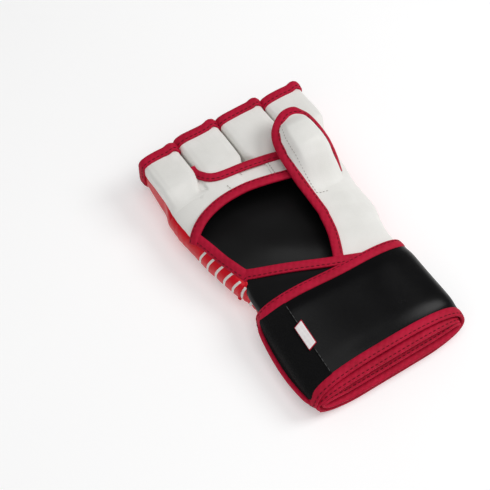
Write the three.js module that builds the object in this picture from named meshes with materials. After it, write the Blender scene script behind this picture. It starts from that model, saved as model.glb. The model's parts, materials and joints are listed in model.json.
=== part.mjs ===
// An open-finger grappling glove (mixed martial arts), right hand, lying on the padded back of the hand.
// Millimetres. +X points to the thumb side, +Y to the fingers, +Z out of the palm.
// The origin is the bottom centre of the glove: z = 0 is the surface it lies on.
//
// The glove is a flattened tube. Its section changes along Y, and every leather, lining and foam
// layer is a piece of that tube at its own depth. The finger and thumb sleeves are smaller tubes.

import * as THREE from 'three';

// ---------------------------------------------------------------- driving dimensions
const HALF_LENGTH = 104;
const LEATHER = 1.8;
const TAPE_WIDTH = 6.5;
const TAPE_THICKNESS = 3.2;
const GAP = 0.4;

const FLEX_LINE = 63;
const FLEX_HEIGHT = 31;
const FINGERS = [
  { name: 'little', from: -60, to: -33.4, tip: 101 },
  { name: 'ring', from: -32.2, to: -1, tip: HALF_LENGTH },
  { name: 'middle', from: 0.2, to: 33.4, tip: HALF_LENGTH },
  { name: 'index', from: 34.6, to: 64, tip: 102 },
];

const WRIST_LINE = -22;
const CUFF_TOP = -32;
const PAD_END = -12;

// The hand tube, by distance along Y.
const handCentre = profile([WRIST_LINE, -1], [15, -4], [45, -2], [FLEX_LINE, 0]);
const handHalfWidth = profile([WRIST_LINE, 51], [15, 57], [45, 62], [FLEX_LINE, 64]);
const handPalm = profile([WRIST_LINE, 29], [15, 30.5], [FLEX_LINE, FLEX_HEIGHT]);
const HAND_MIDDLE = 14;
const HAND_DROP = 16;
const HAND_ROUNDNESS = 2.7;
const FOAM_TOP = 13.5;
const FOAM_WRIST_TOP = 9;
const LINING = 1;

// The cuff tube, by distance along Y: its outermost layer is the strap, and its mouth is squeezed flat.
const CUFF = { centre: -2, halfWidth: 57, roundness: 2.5 };
const cuffMiddle = profile([-HALF_LENGTH, 12.5], [CUFF_TOP, 16.5]);
const cuffHalfHeight = profile([-HALF_LENGTH, 13.5], [CUFF_TOP, 17.5]);
const CUFF_TAPER = 3;
const CUFF_SLANT = 0.22;
const STRAP_DEPTH = 0.6;
const STRAP_THICKNESS = 2.2;
const WRAP_DEPTH = 4.8;
const WRAP_THICKNESS = 2;

// ---------------------------------------------------------------- numbers and shapes
function profile(...stops) {
  // straight lines between [position, value] stops, level beyond the ends
  return (at) => {
    if (at <= stops[0][0]) return stops[0][1];
    for (let i = 1; i < stops.length; i += 1) {
      const [x0, v0] = stops[i - 1];
      const [x1, v1] = stops[i];
      if (at <= x1) return v0 + (v1 - v0) * (at - x0) / (x1 - x0);
    }
    return stops[stops.length - 1][1];
  };
}

function mix(a, b, t) {
  return a + (b - a) * t;
}

function bow(s, roundness) {
  // height of a rounded arch, 1 in the middle and 0 at s = -1 and s = 1
  return Math.pow(Math.max(0, 1 - Math.pow(Math.abs(s), roundness)), 1 / roundness);
}

function mapped(geometry, place) {
  // moves every vertex of a closed geometry to place(x, y, z)
  const position = geometry.attributes.position;
  for (let i = 0; i < position.count; i += 1) {
    const [x, y, z] = place(position.getX(i), position.getY(i), position.getZ(i));
    position.setXYZ(i, x, y, z);
  }
  return faceOutwards(geometry);
}

function faceOutwards(geometry) {
  // a mirrored mapping turns the faces inside out: the sign of the volume shows it
  const position = geometry.attributes.position;
  const order = geometry.index ? Array.from(geometry.index.array) : [...Array(position.count).keys()];
  const corner = (i) => new THREE.Vector3().fromBufferAttribute(position, order[i]);
  let volume = 0;
  for (let i = 0; i < order.length; i += 3) {
    volume += corner(i).dot(corner(i + 1).cross(corner(i + 2)));
  }
  if (volume < 0) {
    for (let i = 0; i < order.length; i += 3) {
      [order[i], order[i + 1]] = [order[i + 1], order[i]];
    }
  }
  geometry.setIndex(order);
  geometry.computeVertexNormals();
  return geometry;
}

function slab(alongU, alongV, place) {
  // a closed six-sided solid: place(u, v, w) with u, v and w from 0 to 1
  const box = new THREE.BoxGeometry(1, 1, 1, alongU, alongV, 1);
  return mapped(box, (x, y, z) => place(x + 0.5, y + 0.5, z + 0.5));
}

function plate(outline, lowHeight, highHeight) {
  // a flat outline, given as [x, y] corners, lifted between two height functions of (x, y)
  const shape = new THREE.Shape(outline.map(([x, y]) => new THREE.Vector2(x, y)));
  const flat = new THREE.ExtrudeGeometry(shape, { depth: 1, bevelEnabled: false, steps: 1 });
  return mapped(flat, (x, y, z) => [x, y, mix(lowHeight(x, y), highHeight(x, y), z)]);
}

function tape(points, width, segments, height) {
  // a flat tape laid along a smooth line through [x, y] points; height(x, y) is its [low, high]
  const line = new THREE.SplineCurve(points.map(([x, y]) => new THREE.Vector2(x, y)));
  return slab(segments, 1, (u, v, w) => {
    const at = line.getPointAt(u);
    const along = line.getTangentAt(u);
    const x = at.x - along.y * (v - 0.5) * width;
    const y = at.y + along.x * (v - 0.5) * width;
    const [low, high] = height(x, y);
    return [x, y, mix(low, high, w)];
  });
}

function frameRing(outer, inner, corner, depth) {
  // a rectangular ring with rounded outside corners, in the X-Z plane, running back along -Y
  const shape = new THREE.Shape();
  const [x0, z0, x1, z1] = outer;
  shape.moveTo(x0 + corner, z0);
  shape.lineTo(x1 - corner, z0);
  shape.quadraticCurveTo(x1, z0, x1, z0 + corner);
  shape.lineTo(x1, z1 - corner);
  shape.quadraticCurveTo(x1, z1, x1 - corner, z1);
  shape.lineTo(x0 + corner, z1);
  shape.quadraticCurveTo(x0, z1, x0, z1 - corner);
  shape.lineTo(x0, z0 + corner);
  shape.quadraticCurveTo(x0, z0, x0 + corner, z0);
  const hole = new THREE.Path();
  hole.moveTo(inner[0], inner[1]);
  hole.lineTo(inner[0], inner[3]);
  hole.lineTo(inner[2], inner[3]);
  hole.lineTo(inner[2], inner[1]);
  hole.closePath();
  shape.holes.push(hole);
  const ring = new THREE.ExtrudeGeometry(shape, { depth, bevelEnabled: false, curveSegments: 3 });
  return mapped(ring, (x, y, z) => [x, -z, y]);
}

// ---------------------------------------------------------------- materials
const LOOKS = {
  redLeather: { color: 0xc80c24, roughness: 0.3, metalness: 0 },
  whiteLeather: { color: 0xe4e4e0, roughness: 0.5, metalness: 0 },
  blackLeather: { color: 0x101112, roughness: 0.35, metalness: 0 },
  lining: { color: 0x0c0d0d, roughness: 0.55, metalness: 0 },
  foam: { color: 0x4a4a4c, roughness: 0.95, metalness: 0 },
  crimsonTape: { color: 0xa81c38, roughness: 0.7, metalness: 0 },
  loop: { color: 0x161616, roughness: 1, metalness: 0 },
  hook: { color: 0x0a0a0a, roughness: 1, metalness: 0 },
  label: { color: 0xe8e6e6, roughness: 0.8, metalness: 0 },
};

const glove = new THREE.Group();

function add(parent, name, geometry, look) {
  const mesh = new THREE.Mesh(geometry, new THREE.MeshStandardMaterial(LOOKS[look]));
  mesh.name = name;
  parent.add(mesh);
  return mesh;
}

// ---------------------------------------------------------------- the hand
const hand = new THREE.Group();
glove.add(hand);

function handWall(angle, y, depth) {
  // a point of the hand tube; angle 0 is the thumb edge, 90 degrees the palm, 270 the back
  const c = Math.cos(angle);
  const s = Math.sin(angle);
  const bulge = 2 / HAND_ROUNDNESS;
  const across = Math.sign(c) * Math.pow(Math.abs(c), bulge);
  const rise = Math.sign(s) * Math.pow(Math.abs(s), bulge);
  const reach = s > 0 ? handPalm(y) - HAND_MIDDLE : HAND_DROP;
  const x = handCentre(y) + (handHalfWidth(y) - depth) * across;
  const z = HAND_MIDDLE + (reach - depth) * rise;
  return [x, y, Math.max(z, depth)];
}

function palmHeight(x, y) {
  const s = (x - handCentre(y)) / handHalfWidth(y);
  return HAND_MIDDLE + (handPalm(y) - HAND_MIDDLE) * bow(s, HAND_ROUNDNESS);
}

function handArc(fromDegrees, toDegrees, yLow, yHigh, depthOut, depthIn, segments, rows) {
  const from = THREE.MathUtils.degToRad(fromDegrees);
  const to = THREE.MathUtils.degToRad(toDegrees);
  return slab(segments, rows, (u, v, w) => {
    const depth = mix(depthOut, depthIn, w);
    return handWall(mix(from, to, u), mix(yLow, yHigh, v), depth);
  });
}

function buildBackOfHand() {
  // the red shell runs up both edges of the hand, where it meets the palm leather
  const shellEnd = FLEX_LINE - 1;
  add(hand, 'back_shell', handArc(159, 382, PAD_END, shellEnd, 0, LEATHER, 20, 5), 'redLeather');
  const flexStart = WRIST_LINE + 1;
  const flexEnd = PAD_END - GAP;
  add(hand, 'wrist_flex_panel', handArc(170, 370, flexStart, flexEnd, 0, LEATHER, 18, 1), 'redLeather');

  // the foam fills the shell up to a gently crowned top, and the lining lies on it
  const foamInset = 7;
  const foamLayer = (height) => slab(12, 6, (u, v, w) => {
    const y = mix(PAD_END + 2, shellEnd - 0.5, v);
    const half = handHalfWidth(y) - foamInset;
    const s = mix(-1, 1, u);
    const underside = HAND_MIDDLE - HAND_DROP * bow(s * half / handHalfWidth(y), HAND_ROUNDNESS);
    const low = Math.max(underside + LEATHER + GAP + 0.8, LEATHER + GAP);
    const crown = mix(FOAM_WRIST_TOP, FOAM_TOP, Math.sqrt(v)) - 1.5 * s * s;
    return [handCentre(y) + half * s, y, height(low, Math.max(crown, low + 1), w)];
  });
  add(hand, 'knuckle_foam', foamLayer((low, high, w) => mix(low, high, w)), 'foam');
  add(hand, 'back_lining', foamLayer((low, high, w) => high + GAP + LINING * w), 'lining');
}

function buildPalm() {
  const low = (x, y) => palmHeight(x, y) - LEATHER;
  const leatherEdge = FLEX_LINE - 1;
  const littleEdge = FINGERS[0].to + 1;

  // white leather from the little finger to a point on the little-finger edge of the hand
  const edgeInset = 6.4;
  const edgeX = (y) => handCentre(y) - handHalfWidth(y) + edgeInset;
  const ulnar = [
    [edgeX(leatherEdge), leatherEdge], [edgeX(52), 52], [edgeX(43), 43], [-54, 42.5], [-45, 46.5],
    [-33, 49.5], [littleEdge - 3.5, 55], [littleEdge - 3, leatherEdge],
  ];
  add(hand, 'ulnar_palm_panel', plate(ulnar, low, palmHeight), 'whiteLeather');

  // the bar across the palm, between its two tapes
  const barLow = (x, y) => palmHeight(x, y) - LEATHER;
  const bar = [[-31.8, 50], [-20, 49], [-5, 47.6], [12, 44.4], [33, 41], [33, 50.4], [12, 52], [-8, 53.8], [-22, 55]];
  add(hand, 'palm_bar', plate(bar, barLow, palmHeight), 'whiteLeather');

  const tapeHeight = (x, y) => {
    const top = palmHeight(x, y) + 0.8;
    return [top - TAPE_THICKNESS, top];
  };
  const gripLine = [[-31.4, 60], [-28, 59], [-19, 58.6], [-6, 57.4], [12, 55.6], [33, 54]];
  add(hand, 'grip_tape', tape(gripLine, 5.6, 12, tapeHeight), 'crimsonTape');

  const openingTop = [[-54.5, 37], [-45, 41.2], [-32, 44.3], [-6, 43], [12, 39.8], [32, 36.6]];
  add(hand, 'palm_opening_upper_tape', tape(openingTop, TAPE_WIDTH, 14, tapeHeight), 'crimsonTape');

  const edgeLine = [[-54.5, 29.5], [-52.5, 17], [-49.5, 5]];
  add(hand, 'palm_opening_edge_tape', tape(edgeLine, TAPE_WIDTH, 6, tapeHeight), 'crimsonTape');

  const thumbSideLine = [[15.5, 33], [18.2, 22], [18.6, 8], [16, -8], [11, -19.5]];
  add(hand, 'palm_opening_thumb_tape', tape(thumbSideLine, TAPE_WIDTH, 10, tapeHeight), 'crimsonTape');
}

function buildThumbBase() {
  // white leather from the thumb sleeve to the cuff, and up the thumb edge to the index finger
  const inner = [[15.2, -21.5], [20.2, -9], [22.4, 8], [22.1, 19]];
  const outer = [[42, 19], [42, 8], [41.5, -9], [40.8, -21.5]];
  const low = (x, y) => palmHeight(x, y) - LEATHER;
  add(hand, 'thumb_base_panel', plate([...inner, ...outer].reverse(), low, palmHeight), 'whiteLeather');
  const indexBase = [[35, 21], [42, 21], [47, 40], [52, FLEX_LINE - 1.5], [35, FLEX_LINE - 1.5]];
  add(hand, 'index_base_panel', plate(indexBase, low, palmHeight), 'whiteLeather');

  const side = slab(3, 7, (u, v, w) => {
    const y = mix(-19, FLEX_LINE - 1.5, v);
    const angle = THREE.MathUtils.degToRad(mix(25, 34, u));
    return handWall(angle, y, mix(LEATHER, 0, w));
  });
  add(hand, 'thumb_edge_panel', side, 'whiteLeather');
}

// ---------------------------------------------------------------- the finger sleeves
function buildFinger(finger) {
  const sleeve = new THREE.Group();
  glove.add(sleeve);
  const { name, from, to, tip } = finger;
  const start = FLEX_LINE + 0.6;
  const tipTape = 7;
  const end = tip - tipTape - GAP;
  const across = (s) => mix(from, to, s);
  const backRise = (v) => 5 * v * v;
  const sideLift = (s) => 6 * Math.pow(Math.abs(2 * s - 1), 3);
  const palmTop = (v) => FLEX_HEIGHT - 1.2 * v;
  const sheet = 1.4;

  const cover = slab(6, 4, (u, v, w) => {
    const low = backRise(v) + sideLift(u);
    return [across(u), mix(start, end, v), low + LEATHER * w];
  });
  add(sleeve, `${name}_back_cover`, cover, 'redLeather');

  const foam = slab(6, 4, (u, v, w) => {
    const inset = sheet + GAP;
    const x = mix(from + inset, to - inset, u);
    const s = (x - from) / (to - from);
    const low = backRise(v) + sideLift(s) + LEATHER + GAP + 0.4;
    return [x, mix(start, end, v), mix(low, FOAM_TOP - 0.5 * v, w)];
  });
  add(sleeve, `${name}_foam_pad`, foam, 'foam');

  for (const [side, edge] of [['outer', from], ['inner', to - sheet]]) {
    const gusset = slab(1, 4, (u, v, w) => {
      const x = edge + sheet * u;
      const s = Math.min(1, Math.max(0, (x - from) / (to - from)));
      const low = backRise(v) + sideLift(s) + LEATHER + GAP + 1;
      const high = palmTop(v) - LEATHER - GAP - 0.8;
      return [x, mix(start, end, v), mix(low, high, w)];
    });
    const label = side === 'outer' ? 'ulnar' : 'radial';
    add(sleeve, `${name}_${label}_gusset`, gusset, 'whiteLeather');
  }

  const palm = slab(4, 4, (u, v, w) => {
    const top = palmTop(v) - 0.6 * Math.pow(2 * u - 1, 2);
    return [across(u), mix(start, end, v), top - LEATHER * (1 - w)];
  });
  add(sleeve, `${name}_palm_panel`, palm, 'whiteLeather');

  const outerEdge = [from, 4.6, to, palmTop(1) + 0.6];
  const innerEdge = [from + 2.8, FOAM_TOP - 0.2, to - 2.8, palmTop(1) - 2.6];
  const ring = frameRing(outerEdge, innerEdge, 5, tipTape);
  add(sleeve, `${name}_tip_tape`, ring, 'crimsonTape').position.y = tip;
}

// ---------------------------------------------------------------- the thumb sleeve
function buildThumb() {
  const sleeve = new THREE.Group();
  glove.add(sleeve);
  const base = 23;
  const tip = 74;
  const innerEdge = profile([base, 16.8], [48, 14], [60, 16.5], [tip, 25]);
  const outerEdge = profile([base, 47.5], [55, 47], [tip, 45]);
  const floor = (y) => 32.4 + 0.21 * (y - base);
  const rise = profile([base, 13.5], [50, 14.5], [tip, 12]);

  const underside = slab(5, 6, (u, v, w) => {
    const y = mix(base, tip, v);
    return [mix(innerEdge(y), outerEdge(y), u), y, floor(y) + LEATHER * w];
  });
  add(sleeve, 'thumb_underside', underside, 'whiteLeather');

  const arch = (depthOut, depthIn, fromDegrees, toDegrees, yLow, yHigh, segments) => {
    const from = THREE.MathUtils.degToRad(fromDegrees);
    const to = THREE.MathUtils.degToRad(toDegrees);
    return slab(segments, 6, (u, v, w) => {
      const y = mix(yLow, yHigh, v);
      const angle = mix(from, to, u);
      const depth = mix(depthIn, depthOut, w);
      const centre = (innerEdge(y) + outerEdge(y)) / 2;
      const half = (outerEdge(y) - innerEdge(y)) / 2;
      const x = centre - (half - depth) * Math.cos(angle);
      return [x, y, floor(y) + LEATHER + GAP + (rise(y) - depth) * Math.sin(angle)];
    });
  };
  const coverEnd = tip - GAP;
  add(sleeve, 'thumb_cover', arch(0, 1.5, 3, 177, base, coverEnd, 12), 'whiteLeather');
  add(sleeve, 'thumb_foam_pad', arch(2.2, 4, 35, 160, base + 2, tip - 6, 9), 'foam');
  add(sleeve, 'thumb_lining', arch(4.4, 5, 35, 160, base + 2, tip - 6, 9), 'lining');

  // the crimson edge tape runs up the palm side of the sleeve and round its mouth
  const sideTape = slab(1, 8, (u, v, w) => {
    const y = mix(base, tip, v);
    const x = innerEdge(y) - GAP - 3 + 3 * u;
    return [x, y, floor(y) + mix(0, 6, w)];
  });
  add(sleeve, 'thumb_side_tape', sideTape, 'crimsonTape');

  const mouth = slab(14, 1, (u, v, w) => {
    const angle = THREE.MathUtils.degToRad(mix(2, 178, u));
    const y = tip + GAP + 3 * v;
    const centre = (innerEdge(tip) + outerEdge(tip)) / 2;
    const half = (outerEdge(tip) - innerEdge(tip)) / 2 - mix(3.4, -0.6, w);
    const x = centre - half * Math.cos(angle);
    return [x, y, floor(tip) + (rise(tip) + 2.8 - mix(3.4, -0.6, w)) * Math.sin(angle)];
  });
  add(sleeve, 'thumb_mouth_tape', mouth, 'crimsonTape');
}

// ---------------------------------------------------------------- the cuff
function cuffWall(angle, y, depth) {
  const bulge = 2 / CUFF.roundness;
  const c = Math.cos(angle);
  const s = Math.sin(angle);
  const widen = CUFF_TAPER * (CUFF_TOP - y) / HALF_LENGTH;
  const across = Math.sign(c) * Math.pow(Math.abs(c), bulge);
  const rise = Math.sign(s) * Math.pow(Math.abs(s), bulge);
  const x = CUFF.centre + (CUFF.halfWidth - CUFF_TAPER + widen - depth) * across;
  const z = Math.max(cuffMiddle(y) + (cuffHalfHeight(y) - depth) * rise, depth);
  return [x, y, z];
}

function cuffArc({ from, to, yLow, yHigh, depth, thickness, segments, rows = 4 }) {
  // yLow and yHigh are functions of the point's x and z, so that an edge can slant
  const start = THREE.MathUtils.degToRad(from);
  const stop = THREE.MathUtils.degToRad(to);
  return slab(segments, rows, (u, v, w) => {
    const angle = mix(start, stop, u);
    const layer = depth + thickness * w;
    const [edgeX, , edgeZ] = cuffWall(angle, CUFF_TOP, layer);
    const y = mix(yLow(edgeX, edgeZ), yHigh(edgeX, edgeZ), v);
    return cuffWall(angle, y, layer);
  });
}

const hemLine = (x, z) => -HALF_LENGTH + CUFF_SLANT * z;
const tapeEdge = (x, z) => hemLine(x, z) + TAPE_WIDTH;
const panelLow = (x, z) => tapeEdge(x, z) + GAP;
const strapTop = (x) => CUFF_TOP - 0.03 * (x + CUFF.halfWidth);
const strapPanelTop = (x) => strapTop(x) - TAPE_WIDTH - GAP;
const level = (y) => () => y;

const PIVOT_ANGLE = 52;
const HOOK_SEAM_ANGLE = 133;
const STRAP_END_ANGLE = 192;

function buildCuff() {
  const cuff = new THREE.Group();
  glove.add(cuff);

  // inner layer: padded back panel, and the wrap that closes over the palm side of the wrist
  const backPanel = cuffArc({
    from: 184, to: 372, yLow: panelLow, yHigh: level(WRIST_LINE - 1), depth: WRAP_DEPTH,
    thickness: WRAP_THICKNESS, segments: 14,
  });
  add(cuff, 'cuff_back_panel', backPanel, 'blackLeather');

  const wrapTop = (x) => {
    // it slants from the palm opening's corner to under the strap
    const t = Math.min(1, Math.max(0, (x + 50) / 72));
    return mix(-13.5, CUFF_TOP - TAPE_WIDTH - 2.5, Math.pow(t, 0.6));
  };
  const wrap = cuffArc({
    from: 13, to: 160, yLow: panelLow, yHigh: wrapTop, depth: WRAP_DEPTH,
    thickness: WRAP_THICKNESS, segments: 14,
  });
  add(cuff, 'wrist_wrap', wrap, 'blackLeather');

  const wrapTape = cuffArc({
    from: 55, to: 158, yLow: (x) => wrapTop(x) + 1, yHigh: (x) => wrapTop(x) + TAPE_WIDTH,
    depth: WRAP_DEPTH - 0.6, thickness: TAPE_THICKNESS, segments: 12, rows: 1,
  });
  add(cuff, 'wrist_wrap_upper_tape', wrapTape, 'crimsonTape');

  const wrapHem = cuffArc({
    from: 13, to: 168, yLow: hemLine, yHigh: tapeEdge, depth: WRAP_DEPTH - 0.5,
    thickness: TAPE_THICKNESS, segments: 14, rows: 1,
  });
  add(cuff, 'wrist_wrap_hem_tape', wrapHem, 'crimsonTape');

  const backHem = cuffArc({
    from: 184, to: 372, yLow: hemLine, yHigh: tapeEdge, depth: WRAP_DEPTH - 0.5,
    thickness: TAPE_THICKNESS, segments: 14, rows: 1,
  });
  add(cuff, 'cuff_back_hem_tape', backHem, 'crimsonTape');

  const loopPatch = cuffArc({
    from: 98, to: 160, yLow: (x, z) => panelLow(x, z) + 4, yHigh: level(CUFF_TOP - 10),
    depth: STRAP_DEPTH + STRAP_THICKNESS + 0.9, thickness: 0.7, segments: 6,
  });
  add(cuff, 'loop_patch', loopPatch, 'loop');

  // outer layer: the root of the strap, sewn under the back and round the thumb edge
  const rootEnd = 360 + PIVOT_ANGLE - 1;
  const root = cuffArc({
    from: 205, to: rootEnd, yLow: panelLow, yHigh: strapPanelTop, depth: STRAP_DEPTH,
    thickness: STRAP_THICKNESS, segments: 14,
  });
  add(cuff, 'strap_root', root, 'blackLeather');
  const rootTapes = [
    ['strap_root_upper_tape', (x) => strapTop(x) - TAPE_WIDTH, (x) => strapTop(x)],
    ['strap_root_hem_tape', hemLine, tapeEdge],
  ];
  for (const [name, yLow, yHigh] of rootTapes) {
    const edge = cuffArc({
      from: 205, to: rootEnd, yLow, yHigh, depth: 0, thickness: TAPE_THICKNESS, segments: 14, rows: 1,
    });
    add(cuff, name, edge, 'crimsonTape');
  }
}

function buildStrap() {
  const strap = new THREE.Group();
  glove.add(strap);
  const span = { from: PIVOT_ANGLE, to: HOOK_SEAM_ANGLE };
  const panel = cuffArc({
    ...span, yLow: panelLow, yHigh: strapPanelTop, depth: STRAP_DEPTH,
    thickness: STRAP_THICKNESS, segments: 10,
  });
  add(strap, 'strap_panel', panel, 'blackLeather');
  const upper = cuffArc({
    ...span, yLow: (x) => strapTop(x) - TAPE_WIDTH, yHigh: (x) => strapTop(x), depth: 0,
    thickness: TAPE_THICKNESS, segments: 10, rows: 1,
  });
  add(strap, 'strap_upper_tape', upper, 'crimsonTape');
  const hem = cuffArc({
    ...span, yLow: hemLine, yHigh: tapeEdge, depth: 0, thickness: TAPE_THICKNESS, segments: 10, rows: 1,
  });
  add(strap, 'strap_hem_tape', hem, 'crimsonTape');

  // a blank label, a slanted strip sewn beside the hook seam
  const labelMiddle = (x) => -66 + 0.3 * (x + 40);
  const labelHalf = 8.5;
  const label = cuffArc({
    from: HOOK_SEAM_ANGLE - 9, to: HOOK_SEAM_ANGLE - 0.5, yLow: (x) => labelMiddle(x) - labelHalf,
    yHigh: (x) => labelMiddle(x) + labelHalf, depth: -0.4, thickness: 0.6, segments: 2, rows: 1,
  });
  add(strap, 'strap_label', label, 'label');

  const tip = new THREE.Group();
  glove.add(tip);
  const band = { from: HOOK_SEAM_ANGLE + 0.6, to: STRAP_END_ANGLE - 4 };
  const hookBand = cuffArc({
    ...band, yLow: (x, z) => panelLow(x, z), yHigh: strapPanelTop, depth: STRAP_DEPTH,
    thickness: STRAP_THICKNESS, segments: 8,
  });
  add(tip, 'hook_band', hookBand, 'hook');
  const tipTapes = [
    ['hook_band_upper_tape', (x) => strapTop(x) - TAPE_WIDTH, (x) => strapTop(x)],
    ['hook_band_hem_tape', hemLine, tapeEdge],
  ];
  for (const [name, yLow, yHigh] of tipTapes) {
    const edge = cuffArc({
      ...band, yLow, yHigh, depth: 0, thickness: TAPE_THICKNESS, segments: 8, rows: 1,
    });
    add(tip, name, edge, 'crimsonTape');
  }
  const endTape = cuffArc({
    from: STRAP_END_ANGLE - 3.4, to: STRAP_END_ANGLE + 4, yLow: hemLine, yHigh: strapTop, depth: 0,
    thickness: TAPE_THICKNESS, segments: 2,
  });
  add(tip, 'hook_band_end_tape', endTape, 'crimsonTape');
}

buildBackOfHand();
buildPalm();
buildThumbBase();
for (const finger of FINGERS) buildFinger(finger);
buildThumb();
buildCuff();
buildStrap();

export default glove;
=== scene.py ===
"""Looks of an open-finger grappling glove: leather, padding, tapes, stitches and the studio around it.

Shapes are written in millimetres in the frame's own axes and turned into metres when a mesh is made:
+X to the thumb side, +Y to the fingers, +Z out of the palm.
"""
import json
import math

import bmesh
import bpy
import numpy as np
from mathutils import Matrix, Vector, noise
from mathutils.geometry import delaunay_2d_cdt


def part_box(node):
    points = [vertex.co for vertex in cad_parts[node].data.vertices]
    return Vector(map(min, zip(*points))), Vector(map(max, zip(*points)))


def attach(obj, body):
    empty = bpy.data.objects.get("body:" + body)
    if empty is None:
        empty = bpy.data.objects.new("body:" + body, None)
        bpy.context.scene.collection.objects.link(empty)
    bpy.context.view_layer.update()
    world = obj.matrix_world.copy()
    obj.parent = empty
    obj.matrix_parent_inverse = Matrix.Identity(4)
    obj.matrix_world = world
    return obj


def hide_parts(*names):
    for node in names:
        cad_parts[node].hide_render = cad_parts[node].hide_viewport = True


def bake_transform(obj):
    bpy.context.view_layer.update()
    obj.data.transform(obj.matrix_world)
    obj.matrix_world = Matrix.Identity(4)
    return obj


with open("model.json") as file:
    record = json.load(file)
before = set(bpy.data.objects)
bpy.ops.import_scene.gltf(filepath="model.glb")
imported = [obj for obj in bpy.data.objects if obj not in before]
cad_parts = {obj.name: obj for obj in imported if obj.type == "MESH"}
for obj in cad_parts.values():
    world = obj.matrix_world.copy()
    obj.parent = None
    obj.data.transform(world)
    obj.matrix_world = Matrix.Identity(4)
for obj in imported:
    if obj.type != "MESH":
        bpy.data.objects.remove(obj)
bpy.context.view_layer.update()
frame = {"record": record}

MM = 0.001
TURN = 2 * math.pi
UP = np.array([0.0, 0.0, 1.0])
FORWARD = np.array([0.0, 1.0, 0.0])


# ------------------------------------------------------------------ sizes, from the frame
def box_mm(node):
    low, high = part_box(node)
    return np.array(low) / MM, np.array(high) / MM


JOINT_AT = {joint["name"]: np.array(joint["pos_m"]) / MM for joint in frame["record"]["behaviour"]["joints"]}
FLEX_LINE = JOINT_AT["little_flex"][1]
PALM_LEVEL = JOINT_AT["little_flex"][2]
WRIST_LINE = JOINT_AT["wrist_flex"][1]
STRAP_FOLD = JOINT_AT["strap_peel"][0]
TIP_FOLD = JOINT_AT["strap_tip_peel"][0]
THUMB_ROOT = JOINT_AT["thumb_abduct"][1]
HEM_END = box_mm("strap_root_hem_tape")[0][1]
PAD_END = box_mm("back_shell")[0][1]
SHELL_END = FLEX_LINE - 7
CUFF_TOP = box_mm("strap_root_upper_tape")[1][1]
THUMB_BASE = 15.0
THUMB_TIP = box_mm("thumb_cover")[1][1] - 3.5

FINGERS = {}
for finger_name in ("little", "ring", "middle", "index"):
    panel_low, panel_high = box_mm(f"{finger_name}_palm_panel")
    tape_end = box_mm(f"{finger_name}_tip_tape")[1][1]
    FINGERS[finger_name] = {"from": panel_low[0], "to": panel_high[0], "tip": tape_end}

PADDED_LEATHER = 1.8
PALM_LEATHER = 1.4
STRAP_LEATHER = 2.0
TAPE_WIDTH = 6.8
TAPE_THICKNESS = 3.0
STITCH_PITCH = 3.3
HAND_MIDDLE = 14.0
HAND_DROP = 16.0
HAND_ROUNDNESS = 2.7
LINING_LEVEL = 14.4


# ------------------------------------------------------------------ small maths
def mix(a, b, t):
    return a + (b - a) * t


def smooth(low, high, x):
    t = np.clip((x - low) / (high - low), 0, 1)
    return t * t * (3 - 2 * t)


def bow(s, roundness):
    return np.power(np.maximum(0, 1 - np.power(np.abs(s), roundness)), 1 / roundness)


def signed_power(value, power):
    return np.sign(value) * np.abs(value) ** power


def stack(x, y, z):
    return np.stack(np.broadcast_arrays(x, y, z), axis=-1).astype(float)


def unit(vectors):
    return vectors / np.maximum(np.linalg.norm(vectors, axis=-1, keepdims=True), 1e-9)


def soft_noise(points, scale, seed=0.0):
    """smooth noise from -1 to 1 at each point, scale in millimetres"""
    flat = points.reshape(-1, 3) / scale + np.array([seed * 7.31, seed * 3.17, seed * 5.03])
    return np.array([noise.noise(Vector(p)) for p in flat]).reshape(points.shape[:-1])


def creases(points, along, spacing, seed):
    """soft parallel folds across the direction along, broken up by noise, from 0 to 1"""
    wander = soft_noise(points, 3.2 * spacing, seed) * 1.6
    phase = (points @ unit(np.array(along, float))) / spacing + wander
    ridge = 0.5 + 0.5 * np.sin(TURN * phase)
    patchy = np.clip(0.5 + soft_noise(points, 2.4 * spacing, seed + 4) * 1.4, 0, 1)
    return np.power(ridge, 3) * patchy


def run_length(points):
    """distance along a polyline to each of its points"""
    return np.concatenate([[0], np.cumsum(np.linalg.norm(np.diff(points, axis=0), axis=1))])


def pick(values, at, places):
    """rows of values, known at the distances at, for other places"""
    return np.stack([np.interp(places, at, column) for column in values.T], axis=-1)


def along_line(points, share):
    """points at these shares (0 to 1) of a polyline's length"""
    at = run_length(points)
    return pick(points, at, share * at[-1])


def resample(points, spacing, closed=False):
    """the same polyline with even spacing; a closed one doesn't repeat its first point"""
    points = np.asarray(points, float)
    if closed:
        points = np.vstack([points, points[:1]])
    at = run_length(points)
    count = max(3, int(round(at[-1] / spacing)))
    return pick(points, at, np.linspace(0, at[-1], count + 1))[:-1 if closed else None]


def curve_through(points, spacing=1.5):
    """an even Catmull-Rom curve through the points"""
    points = np.asarray(points, float)
    knots = np.vstack([2 * points[0] - points[1], points, 2 * points[-1] - points[-2]])
    t = np.linspace(0, 1, 12, endpoint=False)[:, None]
    spans = []
    for a, b, c, d in zip(knots, knots[1:], knots[2:], knots[3:]):
        bend = (2 * a - 5 * b + 4 * c - d) * t ** 2
        twist = (3 * b - a - 3 * c + d) * t ** 3
        spans.append(0.5 * (2 * b + (c - a) * t + bend + twist))
    return resample(np.vstack([*spans, points[-1:]]), spacing)


def height_normals(height, x, y, step):
    """unit normals of the surface z = height(x, y)"""
    slope_x = (height(x + step, y) - height(x - step, y)) / (2 * step)
    slope_y = (height(x, y + step) - height(x, y - step)) / (2 * step)
    return unit(stack(-slope_x, -slope_y, 1.0))


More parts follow.
